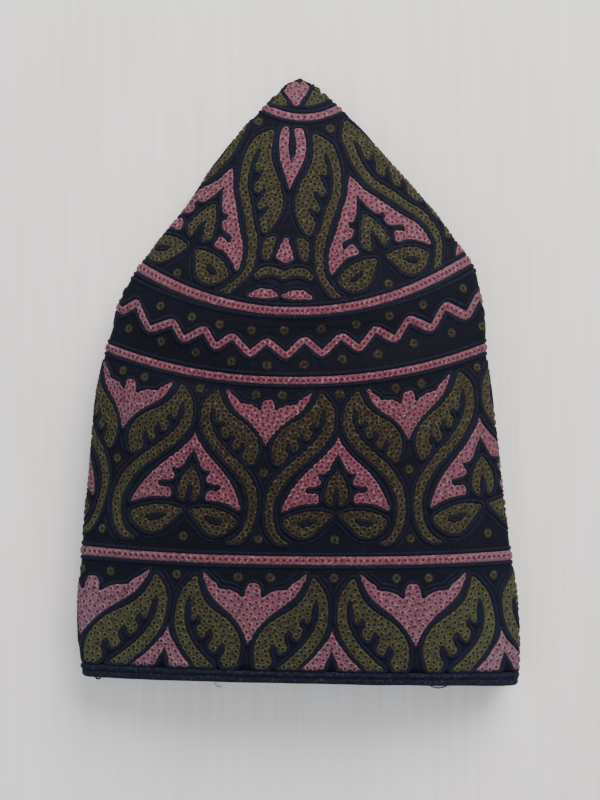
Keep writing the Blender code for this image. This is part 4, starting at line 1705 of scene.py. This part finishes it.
    def line(self, name: str, chart: Chart, flat: np.ndarray, width: float, pitch: float,
             size: float) -> None:
        """Works a narrow rose line: its ground, one row of eyelets and a cord on either side.

        Args:
            name: the band that the line belongs to.
            chart: the flat chart.
            flat: flat points of its centre line, drawn right round the cap.
            width: of the rose thread.
            pitch: between its eyelets.
            size: of its eyelets, 1 being the usual size.
        """
        reach = width / 2 + self.cord_reach
        LINE_GROUND.add(self.pads.setdefault((name, Thread.ROSE), Skin()), chart, flat,
                        np.full(len(flat), width / 2), False, ONCE)
        side = rightward(flat, False)
        for way in (-1, 1):
            line = flat + side * way * reach
            widths = np.full(len(line), self.cord_half)
            if len(line) < 800:     # only the zigzag has sharp corners
                widths[distances(line, [flat])[0] < reach * 0.86] = 0.0
            CORD.add(self.cords.setdefault(name, Skin()), chart, line, widths, False, ONCE)
        steps = np.hypot(*np.diff(flat, axis=0).T)
        places = np.concatenate([[0.0], np.cumsum(steps)])
        number = max(1, round(places[-1] / pitch))
        spots = (np.arange(number) + 0.5) * places[-1] / number
        points = np.stack([np.interp(spots, places, flat[:, k]) for k in range(2)], 1)
        self.ring(Thread.ROSE, chart.repeats, chart.cloth(points), size)

    def dress(self, cap: Cap) -> None:
        """Adds the gathered stitches to the cap as finished pieces."""
        navy = NAVY.material()
        # For each thread: the rings, the ground darkened as painted shade, and the holes' painted
        # shade.
        kinds = {Thread.ROSE: (ROSE, ROSE_SHADED_BED, ROSE_HOLE_SHADE),
                 Thread.OLIVE: (OLIVE, OLIVE_SHADED_BED, OLIVE_HOLE_SHADE)}
        finishes = {thread: [cotton.material() for cotton in cottons]
                    for thread, cottons in kinds.items()}
        for (band, thread), skin in self.pads.items():
            name = f"{thread.value}_ground_{band}"
            cap.keep(name, skin.piece(name, weld=True), finishes[thread][1])
        for band, skin in self.cords.items():
            name = f"satin_cords_{band}"
            cap.keep(name, skin.piece(name, weld=True), navy)
        rings = {thread: ring_tree(f"{thread.value}_rings", finish[0])
                 for thread, finish in finishes.items()}
        # Trees that set the discs of painted shade in the holes.
        discs = {thread: hole_shade_tree(f"{thread.value}_holes", finish[2])
                 for thread, finish in finishes.items()}
        # The single eyelets take the olive ground's cotton, with its painted shade.
        rays = ring_tree("ray_rings", finishes[Thread.OLIVE][1], rays=True)

        def work(name: str, part: str, store: Eyelets, trees: tuple, size: EyeletSize,
                 sides: tuple) -> None:
            """Sets the rings and the dark discs of painted shade of one gathering of eyelets."""
            ring_name, hole_shade_name = f"{name}_eyelets{part}", f"{name}_eyelet_shade_discs{part}"
            cap.made[ring_name] = trees[0].apply(store.cloud("points"), ring_name,
                                                 size.inputs(sides[0]))
            store.places = [points + facing * size.disc_lift
                            for points, facing in zip(store.places, store.facing)]
            cap.made[hole_shade_name] = trees[1].apply(
                store.cloud("points"), hole_shade_name,
                {"Sides": sides[1], "Radius": size.disc * MM, "Seed": FILLING.seed})

        for (thread, part), store in self.eyelets.items():
            work(thread.value, f"_{part}", store, (rings[thread], discs[thread]), FILLING,
                 (SIDES[part], SIDES[part]))
        work("ray", "", self.rays, (rays, discs[Thread.OLIVE]), RAYED, (22, 10))


def level_line(chart: WallChart, height: float, sag: float = 0.0) -> np.ndarray:
    """A line right round the cap, in the flat.

    Args:
        chart: the flat chart.
        height: of the line.
        sag: how much lower it lies in the middle of the front.

    Returns:
        Flat points, from the middle of the back.
    """
    half = chart.repeats.count / 2
    turns = np.linspace(-half, half, 721)
    return chart.flat(np.stack([turns, height - sag * np.exp(-((turns / 1.1) ** 2))], 1))


def crown_ring(radius: float, wider: float) -> np.ndarray:
    """A ring on the crown's disc, in the flat, a little wider towards the side folds."""
    angle = np.linspace(0.0, 2 * math.pi, 169)
    radii = radius + wider * np.sin(angle) ** 2
    return np.stack([radii * np.sin(angle), -radii * np.cos(angle)], 1)


def as_worked(waves: np.ndarray, height: float, table: tuple) -> np.ndarray:
    """Turns and heights of a row of points, each moved to where the front shows it.

    Args:
        waves: places of the points, in waves of the zigzag.
        height: of the row.
        table: (wave, waves to the right, millimetres higher).

    Returns:
        Turns and height of each point.
    """
    shifts = table_value(tuple((wave, right) for wave, right, _ in table), waves)
    rises = table_value(tuple((wave, up) for wave, _, up in table), waves)
    return np.stack([(waves + shifts) / WAVES, height + rises], 1)


def zigzag_line(chart: WallChart, low: float, high: float) -> np.ndarray:
    """The zigzag right round the cap, in the flat."""
    upper = as_worked(np.arange(-24.0, 25.0), high, PEAKS)
    lower = as_worked(np.arange(-23.5, 24.0), low, TROUGHS)
    corners = np.empty((len(upper) + len(lower), 2))
    corners[::2], corners[1::2] = upper, lower
    flat = chart.flat(corners)
    points = [here + (after - here) * t for here, after in zip(flat, flat[1:])
              for t in np.arange(8) / 8]
    return smooth_line(np.array([*points, flat[-1]]), 1)


@dataclass
class Charts:
    """The flat charts of every band, laid on one folded cloth."""

    form: ClothForm
    wall: Repeats = field(init=False)
    middle: WallChart = field(init=False)
    brim: WallChart = field(init=False)
    zigzag: WallChart = field(init=False)
    rounds: WallChart = field(init=False)
    crown: CrownChart = field(init=False)

    def __post_init__(self) -> None:
        """Lays out the side wall's bands, the level lines and the crown."""
        form, count = self.form, WALL_REPEATS
        self.wall = Repeats(form, count, WALL_CENTRES, WALL_WIDTHS, stretch=0.2,
                            left_stretch=LEFT_STRETCH, tucked=(2, 3, 4, 8, 9, 10))
        self.middle = WallChart(self.wall, top=UPPER_BORDER, fall=64.5 / 179,
                                periods=WALL_PERIODS, width=45.0, bottom=0.0)
        self.brim = WallChart(self.wall, top=LOWER_BORDER, fall=0.437, periods=BRIM_PERIODS,
                              width=49.0, bottom=BINDING_HEIGHT + 0.6, spreads=BRIM_SPREADS)
        self.zigzag = WallChart(self.wall, top=SEAM_HEIGHT, fall=0.3, periods=WALL_PERIODS,
                                width=41.8, bottom=0.0)
        even = Repeats(form, count, ((0.0, 0.0),),
                       tuple((float(h), float(form.around[h] / count)) for h in range(0, 135, 5)))
        self.rounds = WallChart(even, top=SEAM_HEIGHT, fall=0.3, periods=WALL_PERIODS,
                                width=43.5, bottom=0.0)
        self.crown = CrownChart(self.crown_repeats())

    def crown_repeats(self) -> Repeats:
        """The crown's repeats, which follow the axes of its drop and its heart."""
        form = self.form
        axis = find_on_front(form, np.array(DROP_AXIS))
        heart = find_on_front(form, np.array(HEART_AXIS))
        places = form.place(axis[:, 0], axis[:, 1], 0.0)
        centres = tuple(sorted((float(h), float(p[0])) for h, p in zip(axis[:, 1], places)))
        crown = Repeats(form, CROWN_REPEATS, centres, ((0.0, 1.0),))
        found = sorted((float(h), float(2 * (s - crown.start(h))
                                        * form.at_height(form.around, h)))
                       for s, h in heart)
        heights = [height for height, _ in found]
        ratios = [width / ((CROWN_TIP - height) * 2 * math.pi / CROWN_REPEATS)
                  for height, width in found]
        crown.widths = tuple((h, (CROWN_TIP - h) * 2 * math.pi / CROWN_REPEATS
                              * float(np.interp(h, heights, ratios)))
                             for h in (SEAM_HEIGHT - 2, 135.0, 150.0, 165.0, 180.0, 195.0, 203.0))
        return crown

    def embroider(self, work: Stitchery) -> None:
        """Works every band, line and single eyelet of the cap, in order."""
        work.band("middle_band", self.middle, WALL_MOTIFS, self.middle.suns(WALL_SUNS), 1.88)
        work.band("brim_band", self.brim, WALL_MOTIFS, self.brim.suns(WALL_SUNS[:3], "suns"), 2.0)
        suns = self.crown.cloth_place(np.array(CROWN_SUNS), 0.0)
        suns[:, 0] = 0.5
        work.band("star", self.crown, STAR_MOTIFS, np.zeros((0, 2)), 1.8, (0, 3))
        work.band("crown_band", self.crown, CROWN_MOTIFS, self.crown.flat(suns), 1.8)

        rounds = self.rounds
        work.line("wall_lines", rounds, level_line(rounds, LOWER_BORDER),
                  width=3.0, pitch=1.85, size=1.15)
        work.line("wall_lines", rounds, level_line(rounds, UPPER_BORDER),
                  width=2.5, pitch=1.8, size=1.08)
        work.line("crown_lines", rounds, level_line(rounds, CROWN_LINE, CROWN_LINE_SAG),
                  width=2.8, pitch=1.85, size=1.14)
        seam = level_line(rounds, SEAM_HEIGHT)
        CORD.add(work.cords["crown_lines"], rounds, seam, np.full(len(seam), 0.7), False, ONCE)
        work.line("crown_lines", self.crown, crown_ring(*SMALL_RING),
                  width=2.5, pitch=1.9, size=1.04)
        work.line("wall_lines", self.zigzag, zigzag_line(self.zigzag, *ZIGZAG),
                  width=2.3, pitch=1.8, size=1.04)
        work.suns(self.wall, as_worked(np.arange(-24.0, 24.0), SUNS_BELOW, LOWER_SUNS))
        work.suns(self.wall, as_worked(np.arange(-23.5, 24.0), SUNS_ABOVE, UPPER_SUNS))


@dataclass
class Cap:
    """The whole cap, built piece by piece round its folded cloth."""

    form: ClothForm = field(default_factory=ClothForm)
    made: dict = field(default_factory=dict)
    ticks: int = 216            # slanting stitches round the binding

    def keep(self, name: str, piece: bpy.types.Object, finish: bpy.types.Material) -> None:
        """Gives a piece its finish and keeps it under its name."""
        piece.data.materials.append(finish)
        self.made[name] = piece

    def shell(self, heights: np.ndarray, hollow: float, pointed: bool) -> Skin:
        """One piece of cloth, with an outside and an inside face.

        Args:
            heights: of its loops, from the bottom up.
            hollow: the inside face ends at this height.
            pointed: it closes onto the crown's centre.

        Returns:
            Its mesh.
        """
        columns = 360
        shares = np.arange(columns) / columns
        rings = [self.form.place(shares, np.full(columns, h), 0.0) for h in heights]
        inner = [h for h in heights[::3] if h <= hollow]
        if not pointed:
            inner = sorted({*inner, heights[-1]})
        inside_rings = [self.form.place(shares, np.full(columns, h), -CLOTH) for h in inner]
        order = inside_rings[::-1] + rings
        skin = Skin()
        skin.add(np.concatenate(order), round_faces(len(order), columns, not pointed))
        if pointed:
            start = len(order) * columns
            last = start - columns
            skin.points.append(np.array([POINT, (POINT[0], 182.6, POINT[2])]))
            for i in range(columns):
                j = (i + 1) % columns
                skin.faces += [(last + i, last + j, start), (j, i, start + 1)]
            skin.count += 2
        return skin

    def cloth(self, ground: bpy.types.Material) -> None:
        """Builds the side wall and the crown."""
        rows = np.concatenate([np.arange(BINDING_HEIGHT + SEAM_GAP, 117.0, 2.0),
                               np.arange(117.5, SEAM_HEIGHT - SEAM_GAP, 0.75),
                               [SEAM_HEIGHT - SEAM_GAP / 2]])
        self.keep("side_wall_cloth", self.shell(rows, 1e9, False).piece("side_wall_cloth"), ground)
        rows = np.concatenate([[SEAM_HEIGHT + SEAM_GAP / 2], np.arange(129.0, 206.0, 2.0)])
        self.keep("crown_cloth", self.shell(rows, 195.0, True).piece("crown_cloth"), ground)

    def binding(self, bound: bpy.types.Material) -> None:
        """Builds the bound rim, with its two rolls of cord."""
        columns = 720
        shares = np.arange(columns) / columns
        order = [self.form.place(shares, np.full(columns, h), -d) for d, h in BINDING_PROFILE]
        skin = Skin()
        skin.add(np.concatenate(order), round_faces(len(order), columns, True))
        self.keep("rim_binding_cloth", skin.piece("rim_binding_cloth"), bound)

    def rim_stitches(self, bound: bpy.types.Material) -> None:
        """Lays the slanting stitches between the binding's two rolls."""
        number = self.ticks
        around = np.arange(number) / number
        low = self.form.place(around, np.full(number, 2.1), 0.42)
        high = self.form.place(around + 0.0016, np.full(number, 3.1), 0.42)
        store = Eyelets()
        store.add((low + high) / 2, self.form.directions(around, np.full(number, 2.6)),
                  np.ones(number))
        store.along.append(unit(high - low))
        self.made["rim_stitches"] = stitch_tree("rim_stitch", bound).apply(
            store.cloud("points"), "rim_stitches",
            {"Half length": 0.85 * MM, "Half width": 0.2 * MM, "Half height": 0.22 * MM,
             "Seed": 1})

    def register(self) -> None:
        """Attaches every piece to the root body, logs its faces and hides the imported plain
        parts.
        """
        for name, piece in self.made.items():
            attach(piece, "root")
            LOG.info("%s: %d faces", name, len(piece.data.polygons))
        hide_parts("side_wall")
        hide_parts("crown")
        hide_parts("rim_binding")


@dataclass
class LooseThreads:
    """The bits of thread that show at the brim: a knot, a loop and a short end."""

    radius: float = 0.17
    sides: int = 6

    def tube(self, skin: Skin, line: np.ndarray, thicker: float = 1.0) -> None:
        """Adds a closed tube of thread.

        Args:
            skin: the mesh.
            line: its centre line, in the rows' own frame.
            thicker: than the usual thread.
        """
        sides = self.sides
        along = unit(np.gradient(line, axis=0))
        side = unit(np.cross(along, (0.0, 0.0, 1.0)), 1e-6)
        up = np.cross(side, along)
        angle = (np.arange(sides) * 2 * math.pi / sides)[None, :, None]
        radii = np.full(len(line), self.radius * thicker)
        radii[[0, -1]] *= 0.35
        rings = line[:, None] + radii[:, None, None] * (
            np.cos(angle) * side[:, None] + np.sin(angle) * up[:, None])
        first = skin.count
        i, j = np.meshgrid(np.arange(len(line) - 1), np.arange(sides), indexing="ij")
        a, b = i * sides + j, i * sides + (j + 1) % sides
        skin.add(rings.reshape(-1, 3), np.stack([a, b, b + sides, a + sides], -1).reshape(-1, 4))
        last = first + (len(line) - 1) * sides
        skin.faces.append(tuple(first + k for k in reversed(range(sides))))
        skin.faces.append(tuple(last + k for k in range(sides)))

    @staticmethod
    def on_board(spots: tuple, lift: float) -> np.ndarray:
        """A smooth line through picture positions, just above the table."""
        scale = (LENS.height - lift) / LENS.focal_px
        points = np.array([((x - LENS.middle_x) * scale + LENS.x,
                            (LENS.middle_y - y) * scale + LENS.y, z) for x, y, z in spots])
        t = np.linspace(0, len(points) - 1, 8 * len(points))
        rough = np.stack([np.interp(t, np.arange(len(points)), points[:, k]) for k in range(3)], 1)
        return smooth_line(rough, 6)

    def build(self, cap: Cap, bound: bpy.types.Material) -> None:
        """Adds the knot to the cap, and the loop with the short end as one piece."""
        knot, loop = Skin(), Skin()
        turns = np.linspace(0, 5.2 * math.pi, 60)
        ball = self.on_board(((98.0, 677.0, 1.1),), 1.1)[0]
        self.tube(knot, ball + np.stack([np.cos(turns) * (0.75 + 0.2 * np.sin(2.3 * turns)),
                                         np.sin(turns) * 0.5,
                                         0.55 * np.sin(turns * 1.37)], 1), 1.3)
        self.tube(loop, self.on_board(((428, 683.5, 3.0), (432, 686.5, 1.4), (438, 688.5, 0.5),
                                       (444, 687.5, 0.5), (449, 684, 1.6)), 1.0))
        self.tube(loop, self.on_board(((214, 681.5, 1.6), (216, 686, 0.7), (221, 687.6, 0.35)),
                                      1.0), 0.6)
        cap.keep("thread_knot", knot.piece("thread_knot"), bound)
        cap.keep("thread_loop", loop.piece("thread_loop"), bound)


def camera() -> None:
    """The camera of the photograph, straight above the cap."""
    data = bpy.data.cameras.new("camera")
    data.sensor_width = 36.0
    data.lens = LENS.focal_px / 800 * 36.0
    made = linked("camera", data)
    made.location = in_metres(np.array([(LENS.x, LENS.y, LENS.height)]))[0]
    bpy.context.scene.camera = made


def light(name: str, place: tuple, size: float, power: float, colour: tuple) -> None:
    """A soft square lamp that faces the cap."""
    data = bpy.data.lights.new(name, "AREA")
    data.shape, data.size, data.energy, data.color = "SQUARE", size, power, colour
    made = linked(name, data)
    made.location = place
    made.rotation_euler = (-Vector(place)).to_track_quat("-Z", "Y").to_euler()


def stage() -> None:
    """The pale board and the soft light."""
    half, low = 0.9, -0.0002
    data = bpy.data.meshes.new("board")
    data.from_pydata([(x * half, y * half, low) for x, y in ((-1, -1), (1, -1), (1, 1), (-1, 1))],
                     [], [(0, 1, 2, 3)])
    data.materials.append(floor_material())
    linked("board", data)
    light("window", (0.30, 0.66, 0.66), 0.65, 15.0, (1.0, 0.975, 0.945))
    light("room", (-0.5, -0.2, 1.2), 1.4, 6.0, (0.93, 0.96, 1.0))
    world = bpy.data.worlds.new("room_light")
    world.use_nodes = True
    background = world.node_tree.nodes["Background"].inputs
    background[0].default_value = (0.78, 0.88, 1.0, 1.0)
    background[1].default_value = 0.65
    bpy.context.scene.world = world


def main() -> None:
    """Builds the cap and its stage."""
    logging.basicConfig(level=logging.INFO)
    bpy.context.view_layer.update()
    stage()
    camera()
    cap, work = Cap(), Stitchery()
    ground, bound = GROUND.material(), BINDING.material()
    cap.cloth(ground)
    cap.binding(bound)
    LooseThreads().build(cap, bound)
    Charts(cap.form).embroider(work)
    work.dress(cap)
    cap.rim_stitches(bound)
    cap.register()


if __name__ == "__main__":
    main()
